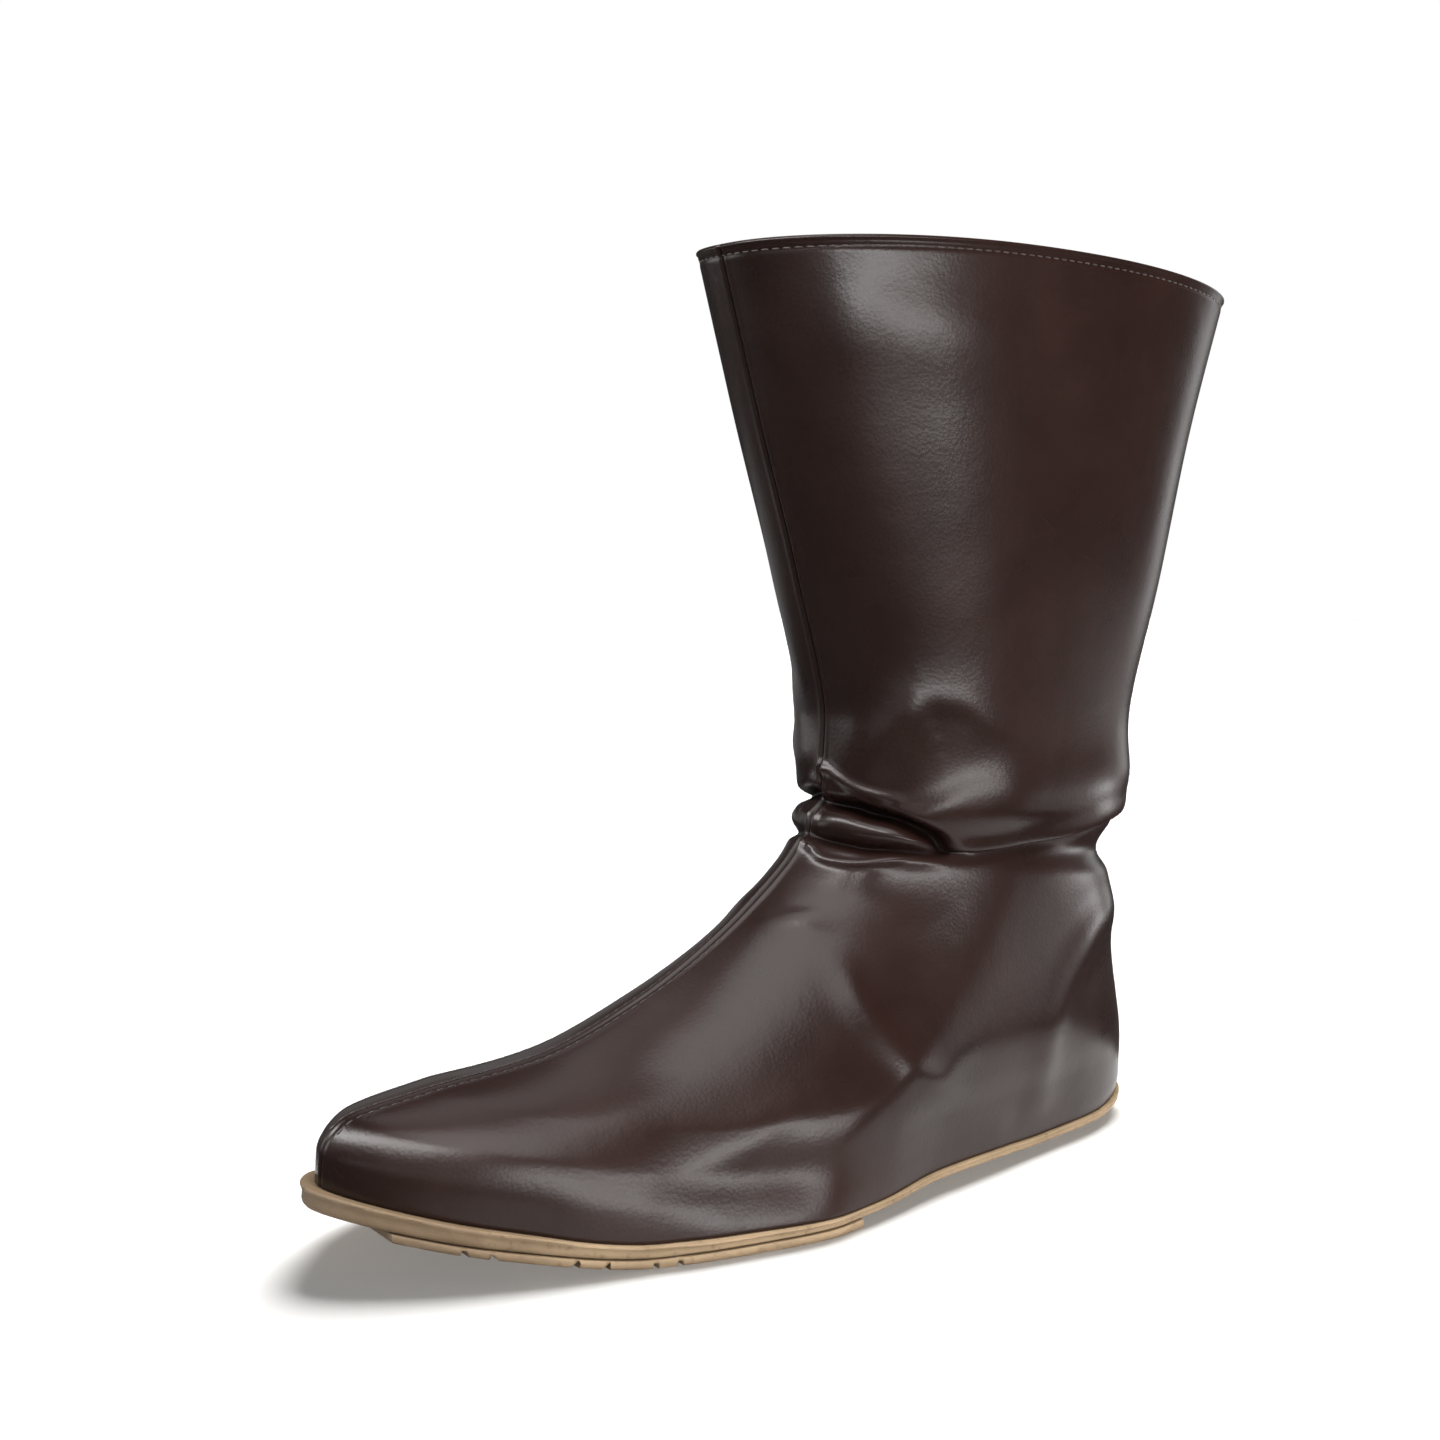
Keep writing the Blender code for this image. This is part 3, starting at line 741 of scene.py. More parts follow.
def new_mesh(name, points, faces):
    """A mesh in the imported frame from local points, its double points merged."""
    mesh = bpy.data.meshes.new(name)
    mesh.from_pydata(packed(points), [], faces)
    work = bmesh.new()
    work.from_mesh(mesh)
    bmesh.ops.remove_doubles(work, verts=work.verts, dist=MERGE_DISTANCE)
    work.to_mesh(mesh)
    work.free()
    mesh.shade_smooth()
    return mesh


def new_object(name, mesh):
    """An object at the origin, in the scene."""
    piece = bpy.data.objects.new(name, mesh)
    bpy.context.scene.collection.objects.link(piece)
    return piece


def fit_piece(piece, node=None):
    """Set a finished piece on the boot and in place of a solid."""
    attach(piece, "root")
    if node is not None:
        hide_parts(node)


def add_node(tree, kind, inputs=None, **settings):
    """A node with its settings, each of its inputs set to a value or linked to a socket."""
    node = tree.nodes.new(kind)
    for name, value in settings.items():
        setattr(node, name, value)
    for key, value in (inputs or {}).items():
        if isinstance(value, bpy.types.NodeSocket):
            tree.links.new(value, node.inputs[key])
        else:
            node.inputs[key].default_value = value
    return node


def new_material(name):
    """A material with its tree, its shader and a node for coordinates."""
    material = bpy.data.materials.new(name)
    material.use_nodes = True
    tree = material.node_tree
    shader = tree.nodes["Principled BSDF"]
    place = add_node(tree, "ShaderNodeTexCoord").outputs["Object"]
    return material, tree, shader, place


def per_mm(size):
    """Texture scale that gives a pattern about this size in millimetres."""
    return 1.0 / (size * MM)


def wave_scale(pitch):
    """Scale of a wave texture whose bands lie this far apart in millimetres."""
    return 2.0 * math.pi * per_mm(pitch) / WAVE_TEXTURE_TURN


def coated_leather(settings):
    """Smooth coated leather-look cloth.

    A thin coat over cloth: dark brown with a satin sheen, faint pores and soft mottling. Painted
    shade makes it nearly black and dull down in a crease, under a lip's edge or in a seam.
    """
    material, tree, shader, place = new_material("coated_leather")
    mottle = add_node(tree, "ShaderNodeTexNoise", {"Vector": place, "Scale": per_mm(35.0), "Detail": 3.0})
    paler = add_node(tree, "ShaderNodeMapRange", {
        "Value": mottle.outputs["Fac"], "From Min": 0.35, "From Max": 0.8})
    skin = add_node(tree, "ShaderNodeMix", {
        "Factor": paler.outputs["Result"], "A": (*settings.leather_colour, 1.0),
        "B": (*settings.worn_colour, 1.0)}, data_type="RGBA")
    # Painted shade: the colour goes nearly black and the sheen dull where creases, lips and seams lie deep
    crease = add_node(tree, "ShaderNodeAttribute", attribute_name="crease_depth")
    painted_shade = add_node(tree, "ShaderNodeMapRange", {
        "Value": crease.outputs["Fac"], "From Min": 0.3, "From Max": 3.0, "To Min": 0.0, "To Max": 0.85})
    colour = add_node(tree, "ShaderNodeMix", {
        "Factor": painted_shade.outputs["Result"], "A": skin.outputs["Result"], "B": (*linear("0C0706"), 1.0)},
        data_type="RGBA")
    dull = add_node(tree, "ShaderNodeMapRange", {
        "Value": crease.outputs["Fac"], "From Min": 0.3, "From Max": 2.5, "To Min": 0.32, "To Max": 0.03})
    tree.links.new(dull.outputs["Result"], shader.inputs["Specular IOR Level"])
    tree.links.new(colour.outputs["Result"], shader.inputs["Base Color"])

    # Pores are about 0.4 mm on such a skin, drawn at 1.1 mm so that they show
    pores = add_node(tree, "ShaderNodeTexVoronoi", {"Vector": place, "Scale": per_mm(1.1)})
    ripple = add_node(tree, "ShaderNodeTexNoise", {"Vector": place, "Scale": per_mm(16.0), "Detail": 2.0})
    soft = add_node(tree, "ShaderNodeBump", {
        "Height": ripple.outputs["Fac"], "Strength": 0.2, "Distance": 0.8 * MM})
    grain = add_node(tree, "ShaderNodeBump", {
        "Height": pores.outputs["Distance"], "Strength": 0.18, "Distance": 0.12 * MM,
        "Normal": soft.outputs["Normal"]})
    tree.links.new(grain.outputs["Normal"], shader.inputs["Normal"])
    gloss = add_node(tree, "ShaderNodeMapRange", {
        "Value": mottle.outputs["Fac"], "From Min": 0.3, "From Max": 0.7, "To Min": 0.26, "To Max": 0.32})
    tree.links.new(gloss.outputs["Result"], shader.inputs["Roughness"])
    shader.inputs["IOR"].default_value = 1.5
    return material


def woven_lining(name, main_colour, band_pitch):
    """Plain woven lining cloth.

    Fine crossing threads, matt, with a little fuzz that catches the light at a low angle.
    """
    material, tree, shader, place = new_material(name)
    ways = []
    for turn in (45.0, -45.0):
        turned = add_node(tree, "ShaderNodeMapping", {
            "Vector": place, "Rotation": (0.0, math.radians(turn), 0.0)})
        ways.append(add_node(tree, "ShaderNodeTexWave", {
            "Vector": turned.outputs["Vector"], "Scale": wave_scale(band_pitch), "Distortion": 0.6},
            bands_direction="Z"))
    weave = add_node(tree, "ShaderNodeMath", {0: ways[0].outputs["Fac"], 1: ways[1].outputs["Fac"]},
                     operation="MULTIPLY")
    blotch = add_node(tree, "ShaderNodeTexNoise", {"Vector": place, "Scale": per_mm(12.0), "Detail": 5.0})
    shade = add_node(tree, "ShaderNodeMath", {0: weave.outputs["Value"], 1: blotch.outputs["Fac"]},
                     operation="MULTIPLY")
    dark = tuple(0.45 * c for c in main_colour)
    colour = add_node(tree, "ShaderNodeMix", {
        "Factor": shade.outputs["Value"], "A": (*dark, 1.0), "B": (*main_colour, 1.0)}, data_type="RGBA")
    tree.links.new(colour.outputs["Result"], shader.inputs["Base Color"])
    relief = add_node(tree, "ShaderNodeBump", {
        "Height": weave.outputs["Value"], "Strength": 0.4, "Distance": 0.15 * MM})
    tree.links.new(relief.outputs["Normal"], shader.inputs["Normal"])
    shader.inputs["Roughness"].default_value = 0.9
    shader.inputs["Specular IOR Level"].default_value = 0.12
    shader.inputs["Sheen Weight"].default_value = 0.2
    return material


def moulded_rubber(settings):
    """Moulded crepe-like rubber.

    Matt and slightly chalky tan, with a gritty skin, cloudy patches and browner spots, and darker
    brown towards the toe.
    """
    material, tree, shader, place = new_material("moulded_rubber")
    cloud = add_node(tree, "ShaderNodeTexNoise", {"Vector": place, "Scale": per_mm(14.0), "Detail": 4.0})
    spots = add_node(tree, "ShaderNodeTexNoise", {"Vector": place, "Scale": per_mm(2.2), "Detail": 2.0})
    brown = add_node(tree, "ShaderNodeMapRange", {
        "Value": spots.outputs["Fac"], "From Min": 0.58, "From Max": 0.75, "To Min": 0.0, "To Max": 0.6})
    patch = add_node(tree, "ShaderNodeMapRange", {
        "Value": cloud.outputs["Fac"], "From Min": 0.35, "From Max": 0.75, "To Min": 0.0, "To Max": 0.45})
    along = add_node(tree, "ShaderNodeSeparateXYZ", {"Vector": place})
    # darker brown towards the toe, by the distance along the sole
    toe = add_node(tree, "ShaderNodeMapRange", {
        "Value": along.outputs["Y"], "From Min": -95.0 * MM, "From Max": -130.0 * MM,
        "To Min": 0.0, "To Max": 0.8})
    scuffs = add_node(tree, "ShaderNodeMath", {0: brown.outputs["Result"], 1: patch.outputs["Result"]},
                      operation="ADD")
    both = add_node(tree, "ShaderNodeMath", {0: scuffs.outputs["Value"], 1: toe.outputs["Result"]},
                    operation="ADD", use_clamp=True)
    colour = add_node(tree, "ShaderNodeMix", {
        "Factor": both.outputs["Value"], "A": (*settings.rubber_colour, 1.0),
        "B": (*settings.stain_colour, 1.0)}, data_type="RGBA")
    tree.links.new(colour.outputs["Result"], shader.inputs["Base Color"])

    # Grit is about 0.3 mm, drawn at 0.8 mm so that it shows
    grit = add_node(tree, "ShaderNodeTexNoise", {"Vector": place, "Scale": per_mm(0.8), "Detail": 3.0})
    relief = add_node(tree, "ShaderNodeBump", {
        "Height": grit.outputs["Fac"], "Strength": 0.35, "Distance": 0.2 * MM})
    tree.links.new(relief.outputs["Normal"], shader.inputs["Normal"])
    shader.inputs["Roughness"].default_value = 0.72
    shader.inputs["IOR"].default_value = 1.5
    return material


def sewing_thread(name, main_colour):
    """Twisted polyester thread.

    Two strands laid round each other, so fine slanting bands and a faint silky sheen.
    """
    material, tree, shader, place = new_material(name)
    strand = add_node(tree, "ShaderNodeTexWave", {
        "Vector": place, "Scale": wave_scale(TWIST_BANDS), "Distortion": 1.0}, bands_direction="DIAGONAL")
    dark = tuple(0.5 * c for c in main_colour)
    colour = add_node(tree, "ShaderNodeMix", {
        "Factor": strand.outputs["Fac"], "A": (*dark, 1.0), "B": (*main_colour, 1.0)}, data_type="RGBA")
    tree.links.new(colour.outputs["Result"], shader.inputs["Base Color"])
    shader.inputs["Roughness"].default_value = 0.5
    shader.inputs["Sheen Weight"].default_value = 0.3
    return material


def stitch_tree():
    """Geometry Nodes that lay short rounded stitches along a path, flat on the leather."""
    tree = bpy.data.node_groups.new("stitch_row", "GeometryNodeTree")
    sockets = {}
    for name, kind in (("Path", "Geometry"), ("Pitch", "Float"), ("Length", "Float"), ("Thread", "Float"),
                       ("Material", "Material")):
        socket = tree.interface.new_socket(name, in_out="INPUT", socket_type=f"NodeSocket{kind}")
        sockets[name] = socket.identifier
    tree.interface.new_socket("Stitches", in_out="OUTPUT", socket_type="NodeSocketGeometry")
    given = add_node(tree, "NodeGroupInput").outputs
    path = add_node(tree, "GeometryNodeMeshToCurve", {"Mesh": given["Path"]})
    places = add_node(tree, "GeometryNodeResampleCurve", {
        "Curve": path.outputs["Curve"], "Length": given["Pitch"]}, mode="LENGTH")
    along = add_node(tree, "GeometryNodeInputTangent")
    outward = add_node(tree, "GeometryNodeInputNamedAttribute", {"Name": "outward"},
                       data_type="FLOAT_VECTOR")
    laid = add_node(tree, "FunctionNodeAlignRotationToVector", {
        "Vector": along.outputs["Tangent"]}, axis="X")
    flat = add_node(tree, "FunctionNodeAlignRotationToVector", {
        "Rotation": laid.outputs["Rotation"], "Vector": outward.outputs["Attribute"]},
        axis="Z", pivot_axis="X")
    ball = add_node(tree, "GeometryNodeMeshUVSphere", {"Segments": 10, "Rings": 6, "Radius": 0.5})
    size = add_node(tree, "ShaderNodeCombineXYZ", {
        "X": given["Length"], "Y": given["Thread"], "Z": given["Thread"]})
    stitch = add_node(tree, "GeometryNodeTransform", {
        "Geometry": ball.outputs["Mesh"], "Scale": size.outputs["Vector"]})
    row = add_node(tree, "GeometryNodeInstanceOnPoints", {
        "Points": places.outputs["Curve"], "Instance": stitch.outputs["Geometry"],
        "Rotation": flat.outputs["Rotation"]})
    real = add_node(tree, "GeometryNodeRealizeInstances", {"Geometry": row.outputs["Instances"]})
    soft = add_node(tree, "GeometryNodeSetShadeSmooth", {"Geometry": real.outputs["Geometry"]})
    dyed = add_node(tree, "GeometryNodeSetMaterial", {
        "Geometry": soft.outputs["Geometry"], "Material": given["Material"]})
    add_node(tree, "NodeGroupOutput", {"Stitches": dyed.outputs["Geometry"]})
    return tree, sockets


def stitch_row(name, paths, tree, sockets, settings, material):
    """A row of stitches along paths of points and outward directions, made into a plain mesh."""
    points = np.concatenate([path for path, _, _ in paths])
    outward = np.concatenate([normals for _, normals, _ in paths])
    edges = []
    start = 0
    for path, _, closed in paths:
        count = len(path)
        edges += [(start + i, start + i + 1) for i in range(count - 1)]
        if closed:
            edges.append((start + count - 1, start))
        start += count
    mesh = bpy.data.meshes.new(name)
    mesh.from_pydata(packed(points), edges, [])
    mesh.attributes.new("outward", "FLOAT_VECTOR", "POINT").data.foreach_set("vector", outward.ravel())
    line = new_object(name + "_path", mesh)
    modifier = line.modifiers.new("stitches", "NODES")
    modifier.node_group = tree
    modifier[sockets["Pitch"]] = settings.pitch
    modifier[sockets["Length"]] = settings.length
    modifier[sockets["Thread"]] = settings.thread
    modifier[sockets["Material"]] = material
    ready = line.evaluated_get(bpy.context.evaluated_depsgraph_get())
    stitches = new_object(name, bpy.data.meshes.new_from_object(ready))
    stitches.data.name = name
    line.modifiers.remove(modifier)
    bpy.data.objects.remove(line)
    return stitches


def edge_wave(ahead, side):
    """Uneven waves along a trimmed edge, between -1 and 1."""
    turns = [ahead / wave.run + wave.start + wave.shift * side for wave in EDGE_WAVES]
    return sum(wave.height * np.sin(turn) for wave, turn in zip(EDGE_WAVES, turns))


def sole_layer(name, stations, edge, base_inset, low, high, wave=0.0, groove=None, ribs=None):
    """Mesh of one layer of the sole, closed by strips straight across the foot.

    The edge gives insets and parts of the height from the low to the high face. A groove function
    gives how far the low face is lifted and leant along the foot, a rib function how far its
    middle is lifted.
    """
    loops = []
    for inset, part in edge:
        loop = []
        for side, order in ((OUTER, stations), (INNER, stations[::-1])):
            wander = wave * np.sin(math.pi * np.clip(part, *WAVE_PARTS))
            wander = wander * edge_wave(order * SOLE_LENGTH, side)
            x, ahead = sole_edge(np.full(len(order), side), order, base_inset + inset - wander)
            lift, lean = groove(ahead) if groove else (0.0, 0.0)
            z = low(ahead) + lift + part * (high(ahead) - low(ahead) - lift)
            loop.append(np.stack((x, -ahead - lean * (1.0 - part), z), axis=1))
        loops.append(np.concatenate(loop))
    loops = np.stack(loops)
    count = loops.shape[1]
    half = len(stations)
    points = loops.reshape(-1, 3).tolist()
    faces = []
    for level in range(len(loops) - 1):
        for i in range(count):
            after = (i + 1) % count
            a, b = level * count, (level + 1) * count
            faces.append((a + i, b + i, b + after, a + after))

    # Strips across the low and the high face
    parts = np.linspace(0.0, 1.0, ACROSS + 1)
    for loop, first, low_face in ((loops[0], 0, True), (loops[-1], (len(loops) - 1) * count, False)):
        outer, inner = loop[:half], loop[half:][::-1]
        grid = outer[:, None] + (inner - outer)[:, None] * parts[None, :, None]
        if low_face and ribs:
            inside = ease(RIB_MARGIN, parts) * ease(RIB_MARGIN, 1.0 - parts)
            grid[..., 2] += ribs(-grid[..., 1]) * inside[None, :]
        numbers = np.zeros((half, ACROSS + 1), int)
        numbers[:, 0] = first + np.arange(half)
        numbers[:, -1] = first + count - 1 - np.arange(half)
        numbers[:, 1:-1] = len(points) + np.arange(half * (ACROSS - 1)).reshape(half, ACROSS - 1)
        points += grid[:, 1:-1].reshape(-1, 3).tolist()
        for i in range(half - 1):
            for j in range(ACROSS):
                quad = (numbers[i, j], numbers[i + 1, j], numbers[i + 1, j + 1], numbers[i, j + 1])
                faces.append(tuple(int(n) for n in (quad if low_face else quad[::-1])))
    mesh = new_mesh(name, points, faces)
    mesh.set_sharp_from_angle(angle=SHARP_ANGLE)
    return mesh


def tread_under(ahead):
    """Height of the walking face."""
    return runner_under(ahead) - FIT_GAP - TREAD


def tread_top(ahead):
    """Height of the tread's upper face, just under the runner sole."""
    return runner_under(ahead) - FIT_GAP


def sock_under(ahead):
    """Height of the sock's underside."""
    return runner_top(ahead) + FIT_GAP


def sock_top(ahead):
    """Height of the sock's upper face."""
    return sock_under(ahead) + INSOLE_THICKNESS


def tread_grooves(ahead):
    """How far the grooves lift the walking face, and how far they lean along the foot."""
    lift = np.zeros(np.shape(ahead))
    lean = np.zeros(np.shape(ahead))
    for groove in GROOVES:
        inside = ease(GROOVE_WALL, 0.5 * GROOVE_WIDTH - np.abs(ahead - groove.ahead))
        lift = lift + GROOVE_DEPTH * inside
        lean = lean + GROOVE_DEPTH * inside * math.tan(math.radians(groove.lean))
    return lift, lean


def even_stations(shares, count):
    """Shares of the length, closer together at both ends."""
    turns = np.linspace(0.0, math.pi, count)
    return shares[0] + (shares[1] - shares[0]) * (0.5 - 0.5 * np.cos(turns))


class BOOT_OT_upper(bpy.types.Operator):
    """Make the folded leather upper with its rolled collar and its lining."""

    bl_idname = "boot.upper"
    bl_label = "Upper"

    def execute(self, context):
        settings = context.scene.boot_upper
        rings, leather_count, depth = shell_rings(settings.fold_strength)
        rows, columns = rings.shape[:2]
        numbers = np.arange(rows * columns).reshape(rows, columns)
        above = np.roll(numbers, -1, axis=0)
        corners = (numbers, above, np.roll(above, -1, axis=1), np.roll(numbers, -1, axis=1))
        faces = np.stack([corner.ravel() for corner in corners], axis=1).tolist()
        mesh = new_mesh("upper_skin", rings.reshape(-1, 3), faces)
        if len(mesh.vertices) != rows * columns:
            raise RuntimeError("points of the upper have merged, so its rings are too close together")
        # painted shade of the creases, lips and seams, which darkens the leather's colour
        mesh.attributes.new("crease_depth", "FLOAT", "POINT").data.foreach_set("value", depth.ravel())
        mesh.materials.append(coated_leather(settings))
        mesh.materials.append(woven_lining("woven_lining", tuple(settings.lining_colour), LINING_BANDS))
        lined = np.repeat(np.arange(rows) >= leather_count - 1, columns).astype(np.int32)
        lined[-columns:] = 0
        mesh.polygons.foreach_set("material_index", lined)
        fit_piece(new_object("upper_skin", mesh), "upper")
        return {"FINISHED"}


class BOOT_OT_stitches(bpy.types.Operator):
    """Sew the hem of the collar and both sides of the foot's front seam."""

    bl_idname = "boot.stitches"
    bl_label = "Stitches"

    def execute(self, context):
        settings = context.scene.boot_stitches
        leather, levels, normals, _ = leather_grid(context.scene.boot_upper.fold_strength)
        threads = {
            "hem_stitches": sewing_thread("hem_thread", tuple(settings.hem_colour)),
            "seam_stitches": sewing_thread("seam_thread", tuple(settings.seam_colour)),
        }
        tree, sockets = stitch_tree()
        hem = int(np.argmin(np.abs((COLLAR - levels) * COLLAR_RISE - HEM_LINE_DROP)))
        foot = np.nonzero((levels >= STITCH_FOOT_LEVELS[0]) & (levels <= STITCH_FOOT_LEVELS[1]))[0]
        front = len(BACK_COLUMNS) + MIDDLE_COLUMNS + len(FRONT_COLUMNS) - 1
        step = int(np.argmin(np.abs(FRONT_COLUMNS - STITCH_COLUMN)))
        rows = {
            "hem_stitches": [(leather[hem], normals[hem], True)],
            "seam_stitches": [
                (leather[foot, side], normals[foot, side], False) for side in (front - step, front + step)],
        }
        for name, paths in rows.items():
            fit_piece(stitch_row(name, paths, tree, sockets, settings, threads[name]))
        return {"FINISHED"}


class BOOT_OT_insole(bpy.types.Operator):
    """Make the cloth-covered sock that the foot stands on."""

    bl_idname = "boot.insole"
    bl_label = "Insole"

    def execute(self, context):
        settings = context.scene.boot_sole
        stations = even_stations((0.0, 1.0), SOCK_STATIONS)
        mesh = sole_layer("insole_sock", stations, SOCK_EDGE, INSOLE_INSET, sock_under, sock_top)
        mesh.materials.append(woven_lining("sock_cloth", tuple(settings.sock_colour), SOCK_BANDS))
        fit_piece(new_object("insole_sock", mesh), "insole")
        return {"FINISHED"}


class BOOT_OT_sole(bpy.types.Operator):
    """Make the runner sole, the grooved half sole and the heel pad, all of tan rubber."""

    bl_idname = "boot.sole"
    bl_label = "Sole"

    def execute(self, context):
        settings = context.scene.boot_sole
        rubber = moulded_rubber(settings)
        wave = settings.wave / MM
        pitch = settings.rib_pitch / MM
        depth = settings.rib_depth / MM

        def ribs(ahead):
            return depth * (0.5 - 0.5 * np.cos(2.0 * math.pi * ahead / pitch)) ** 2

        walls = [0.5 * GROOVE_WIDTH - part * GROOVE_WALL for part in (0.0, 0.5, 1.0)]
        walls = [groove.ahead + side * wall for groove in GROOVES for wall in walls for side in (-1.0, 1.0)]
        half_inset = -HALF_SOLE_OUTSET
        wall_shares = (np.array(walls) - half_inset) / (SOLE_LENGTH - 2.0 * half_inset)
        half_stations = np.linspace(*HALF_SOLE_SHARES, TREAD_STATIONS)
        half_stations = np.sort(np.concatenate((half_stations, wall_shares)))
        layers = {
            "midsole": sole_layer(
                "runner_sole", even_stations((0.0, 1.0), RUNNER_STATIONS), RUNNER_EDGE, 0.0,
                runner_under, runner_top, wave=wave),
            "outsole_forefoot": sole_layer(
                "half_sole", half_stations, TREAD_EDGE, half_inset,
                tread_under, tread_top, wave=HALF_SOLE_WAVE * wave, groove=tread_grooves, ribs=ribs),
            "outsole_heel": sole_layer(
                "heel_pad", even_stations(HEEL_PAD_SHARES, TREAD_STATIONS), TREAD_EDGE, HEEL_PAD_INSET,
                tread_under, tread_top, ribs=ribs),
        }
        for node, mesh in layers.items():
            mesh.materials.append(rubber)
            fit_piece(new_object(mesh.name, mesh), node)
        return {"FINISHED"}


class Lamp(NamedTuple):
    """A soft box that shines at the boot.

    Its azimuth is in degrees from the toe towards the outer side, its elevation in degrees, its
    distance and size in metres and its power in watts. A box may show as a highlight, light the
    colour of the boot, or do both. A sun has no size, and its power is for each square metre.
    """

    name: str
    azimuth: float
    elevation: float
    distance: float
    width: float
    height: float
    power: float
    highlight: bool = True
    colour: bool = True


LAMPS = (
    Lamp("front_box", 6.0, 40.0, 1.4, 2.1, 0.4, 42.0, colour=False),
    Lamp("left_box", -110.0, 62.0, 1.5, 0.8, 0.8, 2.4),
    Lamp("inner_box", -52.0, 7.0, 1.4, 1.0, 0.3, 2.4),
    Lamp("strip_card", -92.0, -2.5, 0.45, 0.35, 0.1, 0.035),
    Lamp("window_box", 87.0, 6.8, 1.3, 1.1, 0.17, 10.2),
    Lamp("horizon_box", 46.0, 1.0, 1.5, 3.6, 0.2, 2.8),
    Lamp("heel_spot", 162.0, -9.3, 0.295, 0.07, 0.035, 0.04),
    Lamp("heel_low_card", 150.0, -14.0, 0.3, 0.16, 0.09, 0.034),
    Lamp("heel_card", 160.0, -6.0, 0.5, 0.38, 0.13, 0.1),
    Lamp("back_box", 186.0, 8.0, 1.4, 0.35, 0.7, 1.2),
    Lamp("ceiling_box", 66.0, 66.0, 1.5, 0.96, 1.34, 16.0),
    Lamp("top_fill", 66.0, 80.0, 1.5, 1.0, 1.0, 28.0, highlight=False),
    Lamp("side_fill", 120.0, 20.0, 1.5, 1.0, 1.0, 11.0, highlight=False),
)
FLOOR_SUN = Lamp("floor_sun", 224.0, 40.0, 2.0, 0.0, 0.0, 6.0)
FLOOR_SUN_ANGLE = math.radians(40.0)
FLOOR_FILL = Lamp("floor_fill", 0.0, 90.0, 2.0, 0.0, 0.0, 0.7)
SHADOW_PIECES = ("runner_sole", "half_sole")    # nothing else shades the floor
LAMP_AIM = Vector((0.0, 0.0, 0.12))
ROOM_LIGHT = 0.06
FLOOR_RINGS = (0.18, 4.0)   # radii of the paper, which the leather mirrors, and of the whole floor
FLOOR_CORNERS = 96
BACKDROP_RADIUS = 5.0
BACKDROP_LIGHT = 1.0
SENSOR_WIDTH = 36.0


def link_group(name, members):
    """A collection of objects that a light lights, or that shade it."""
    group = bpy.data.collections.new(name)
    for member in members:
        group.objects.link(member)
    return group


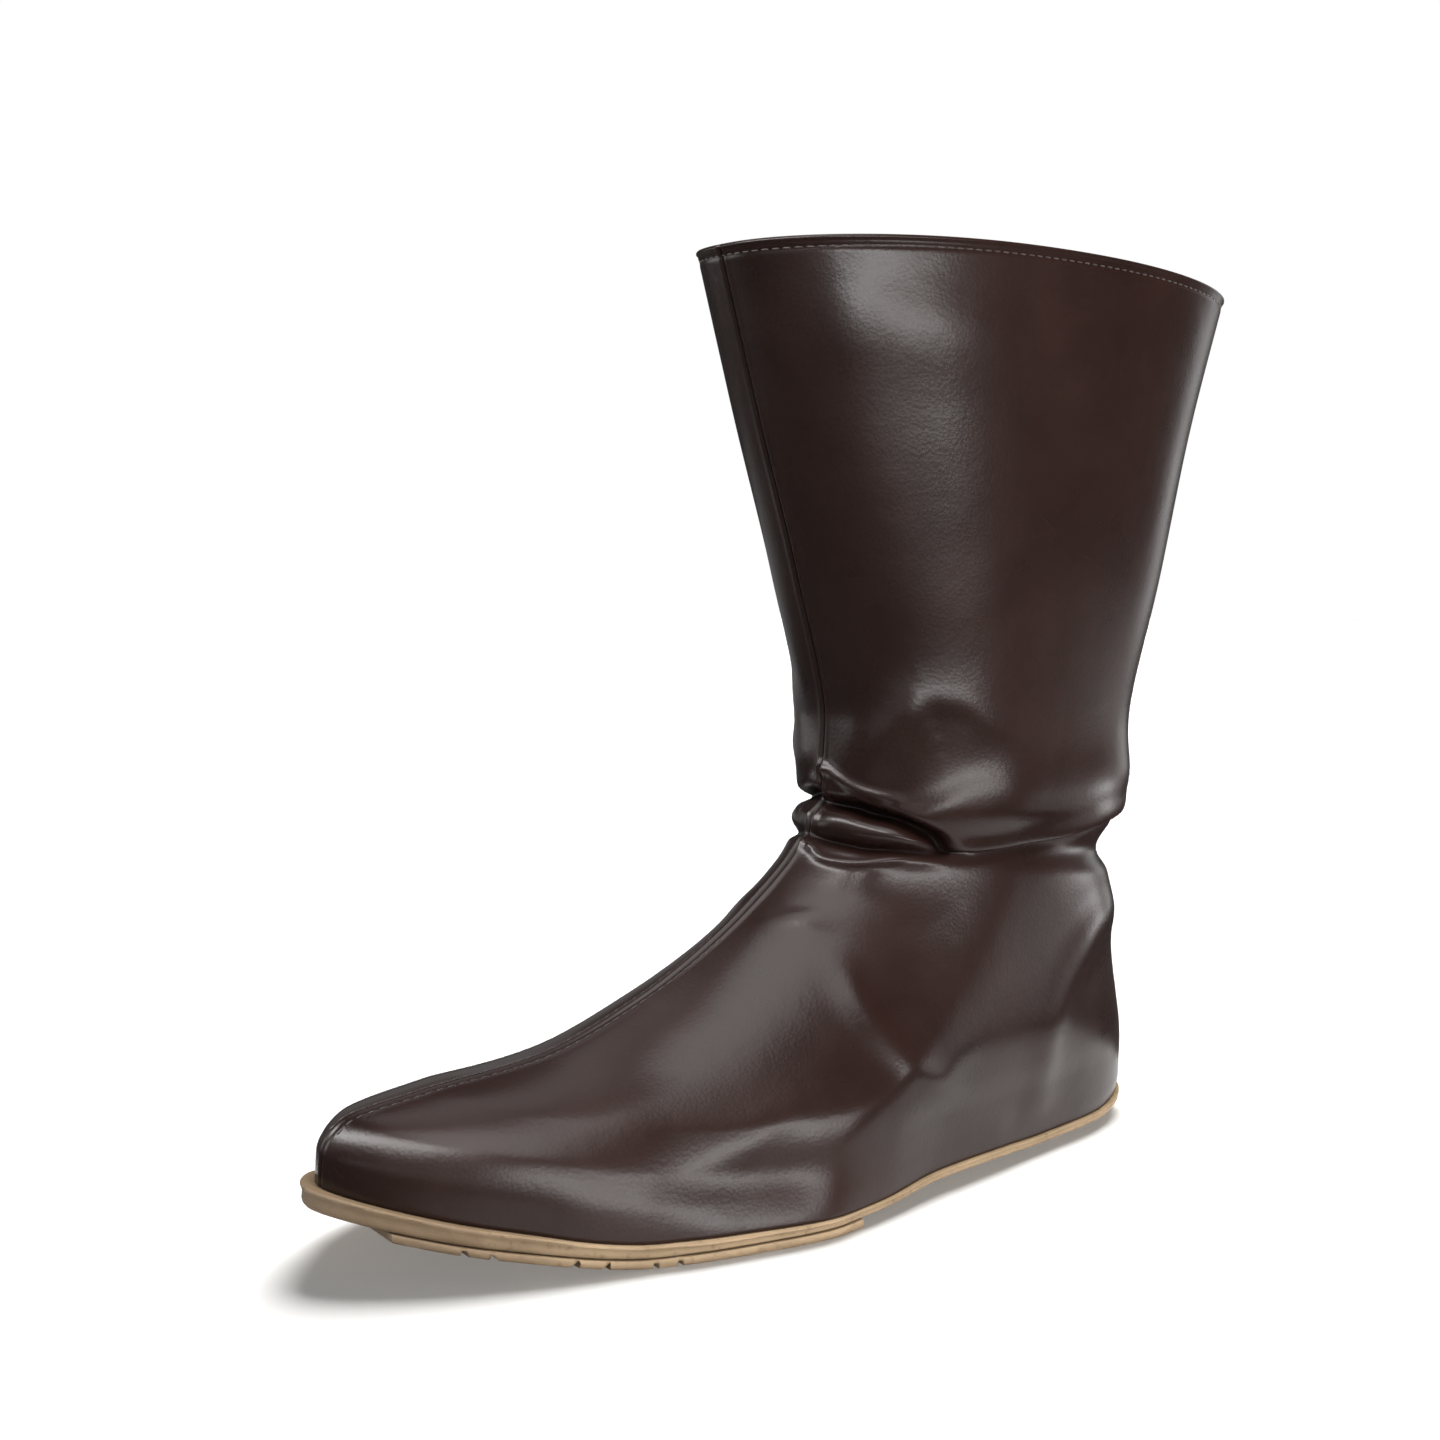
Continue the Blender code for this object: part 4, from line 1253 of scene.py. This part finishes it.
class BOOT_OT_stage(bpy.types.Operator):
    """Set the pale floor, the white backdrop, the soft lights and the camera."""

    bl_idname = "boot.stage"
    bl_label = "Stage"

    def hang_lamp(self, lamp, kind):
        """A light of one kind that shines at the boot."""
        light = bpy.data.lights.new(lamp.name, kind)
        light.energy = lamp.power
        box = bpy.data.objects.new(lamp.name, light)
        azimuth, elevation = math.radians(lamp.azimuth), math.radians(lamp.elevation)
        level = math.cos(elevation)
        towards = Vector((math.sin(azimuth) * level, -math.cos(azimuth) * level, math.sin(elevation)))
        box.location = LAMP_AIM + lamp.distance * towards
        box.rotation_euler = towards.to_track_quat("Z", "Y").to_euler()
        box.visible_camera = False
        box.visible_glossy = lamp.highlight
        box.visible_diffuse = lamp.colour
        bpy.context.scene.collection.objects.link(box)
        return box

    def hang_backdrop(self):
        """A white dome that only the camera sees, so that it lights nothing."""
        work = bmesh.new()
        bmesh.ops.create_uvsphere(work, u_segments=48, v_segments=24, radius=BACKDROP_RADIUS)
        mesh = bpy.data.meshes.new("backdrop")
        work.to_mesh(mesh)
        work.free()
        paper = bpy.data.materials.new("backdrop_paper")
        paper.use_nodes = True
        shader = paper.node_tree.nodes["Principled BSDF"]
        shader.inputs["Base Color"].default_value = (0.0, 0.0, 0.0, 1.0)
        shader.inputs["Emission Color"].default_value = (1.0, 1.0, 1.0, 1.0)
        shader.inputs["Emission Strength"].default_value = BACKDROP_LIGHT
        mesh.materials.append(paper)
        backdrop = new_object("backdrop", mesh)
        backdrop.visible_diffuse = False
        backdrop.visible_glossy = False
        backdrop.visible_transmission = False
        backdrop.visible_shadow = False

    def lay_floor(self, settings):
        """A round of white paper under the boot, and a wide floor of the same paper round it."""
        paper, tree, shader, place = new_material("studio_paper")
        fibre = add_node(tree, "ShaderNodeTexNoise", {"Vector": place, "Scale": per_mm(3.0), "Detail": 3.0})
        tone = add_node(tree, "ShaderNodeMapRange", {
            "Value": fibre.outputs["Fac"], "To Min": 0.985, "To Max": 1.0})
        colour = add_node(tree, "ShaderNodeMix", {
            "Factor": tone.outputs["Result"], "A": (0.0, 0.0, 0.0, 1.0),
            "B": (*settings.floor_colour, 1.0)}, data_type="RGBA")
        tree.links.new(colour.outputs["Result"], shader.inputs["Base Color"])
        shader.inputs["Roughness"].default_value = 0.9
        turns = np.linspace(0.0, 2.0 * math.pi, FLOOR_CORNERS, endpoint=False)
        inner, outer = ([(r * math.cos(t), r * math.sin(t), 0.0) for t in turns] for r in FLOOR_RINGS)
        strips = []
        for i in range(FLOOR_CORNERS):
            after = (i + 1) % FLOOR_CORNERS
            strips.append((i, FLOOR_CORNERS + i, FLOOR_CORNERS + after, after))
        grounds = []
        for name, points, faces in (
                ("paper", inner, [tuple(range(FLOOR_CORNERS))]), ("floor", inner + outer, strips)):
            mesh = bpy.data.meshes.new(name)
            mesh.from_pydata(points, [], faces)
            mesh.materials.append(paper)
            ground = new_object(name, mesh)
            ground.visible_glossy = name == "paper"
            grounds.append(ground)
        return grounds

    def hang_lamps(self, boot, soles, floor):
        """Soft boxes for the boot alone, and two suns for the floor alone, one of them shadowless."""
        for lamp in LAMPS:
            box = self.hang_lamp(lamp, "AREA")
            box.data.shape = "RECTANGLE"
            box.data.size = lamp.width
            box.data.size_y = lamp.height
            box.light_linking.receiver_collection = boot
        sun = self.hang_lamp(FLOOR_SUN, "SUN")
        sun.data.angle = FLOOR_SUN_ANGLE
        sun.light_linking.receiver_collection = floor
        sun.light_linking.blocker_collection = soles
        fill = self.hang_lamp(FLOOR_FILL, "SUN")
        fill.data.use_shadow = False
        fill.light_linking.receiver_collection = floor

    def set_camera(self, scene, settings):
        """The camera at the photo's angle."""
        camera = bpy.data.objects.new("camera", bpy.data.cameras.new("camera"))
        camera.data.lens = settings.lens
        camera.data.sensor_width = SENSOR_WIDTH
        turn = Matrix.Rotation(settings.camera_turn, 4, "Z")
        tilt = Matrix.Rotation(math.radians(90.0) - settings.camera_tilt, 4, "X")
        roll = Matrix.Rotation(settings.camera_roll, 4, "Z")
        camera.matrix_world = Matrix.Translation(settings.camera_place) @ turn @ tilt @ roll
        scene.collection.objects.link(camera)
        scene.camera = camera

    def execute(self, context):
        scene = context.scene
        settings = scene.boot_stage
        boot = link_group("lit_by_lamps", [piece for piece in scene.objects if piece.type == "MESH"])
        soles = link_group("shades_the_floor", [scene.objects[name] for name in SHADOW_PIECES])
        floor = link_group("lit_by_floor_sun", self.lay_floor(settings))
        self.hang_backdrop()
        self.hang_lamps(boot, soles, floor)
        world = bpy.data.worlds.new("studio")
        world.use_nodes = True
        sky = world.node_tree.nodes["Background"]
        sky.inputs["Color"].default_value = (1.0, 1.0, 1.0, 1.0)
        sky.inputs["Strength"].default_value = ROOM_LIGHT
        scene.world = world
        self.set_camera(scene, settings)
        scene.view_settings.view_transform = "Standard"
        return {"FINISHED"}


class BOOT_PT_panel(bpy.types.Panel):
    """Sidebar panel that lists the boot's pieces and the stage."""

    bl_idname = "BOOT_PT_panel"
    bl_label = "Costume boot"
    bl_space_type = "VIEW_3D"
    bl_region_type = "UI"
    bl_category = "Boot"

    def draw(self, context):
        for operator in OPERATORS:
            self.layout.operator(operator.bl_idname)
        for name in SETTINGS:
            group = getattr(context.scene, name)
            for key in group.__annotations__:
                self.layout.prop(group, key)


SETTINGS = {
    "boot_upper": UpperSettings,
    "boot_stitches": StitchSettings,
    "boot_sole": SoleSettings,
    "boot_stage": StageSettings,
}
OPERATORS = (BOOT_OT_upper, BOOT_OT_stitches, BOOT_OT_insole, BOOT_OT_sole, BOOT_OT_stage)


def register():
    """Register the settings, the operators and the panel."""
    for name, group in SETTINGS.items():
        bpy.utils.register_class(group)
        setattr(bpy.types.Scene, name, bpy.props.PointerProperty(type=group))
    for kind in (*OPERATORS, BOOT_PT_panel):
        bpy.utils.register_class(kind)


def unregister():
    """Take everything that register added out again."""
    for kind in (BOOT_PT_panel, *reversed(OPERATORS)):
        bpy.utils.unregister_class(kind)
    for name, group in SETTINGS.items():
        delattr(bpy.types.Scene, name)
        bpy.utils.unregister_class(group)


def main():
    """Build every piece and the stage."""
    register()
    bpy.ops.boot.upper()
    bpy.ops.boot.stitches()
    bpy.ops.boot.insole()
    bpy.ops.boot.sole()
    bpy.ops.boot.stage()


if __name__ == "__main__":
    main()
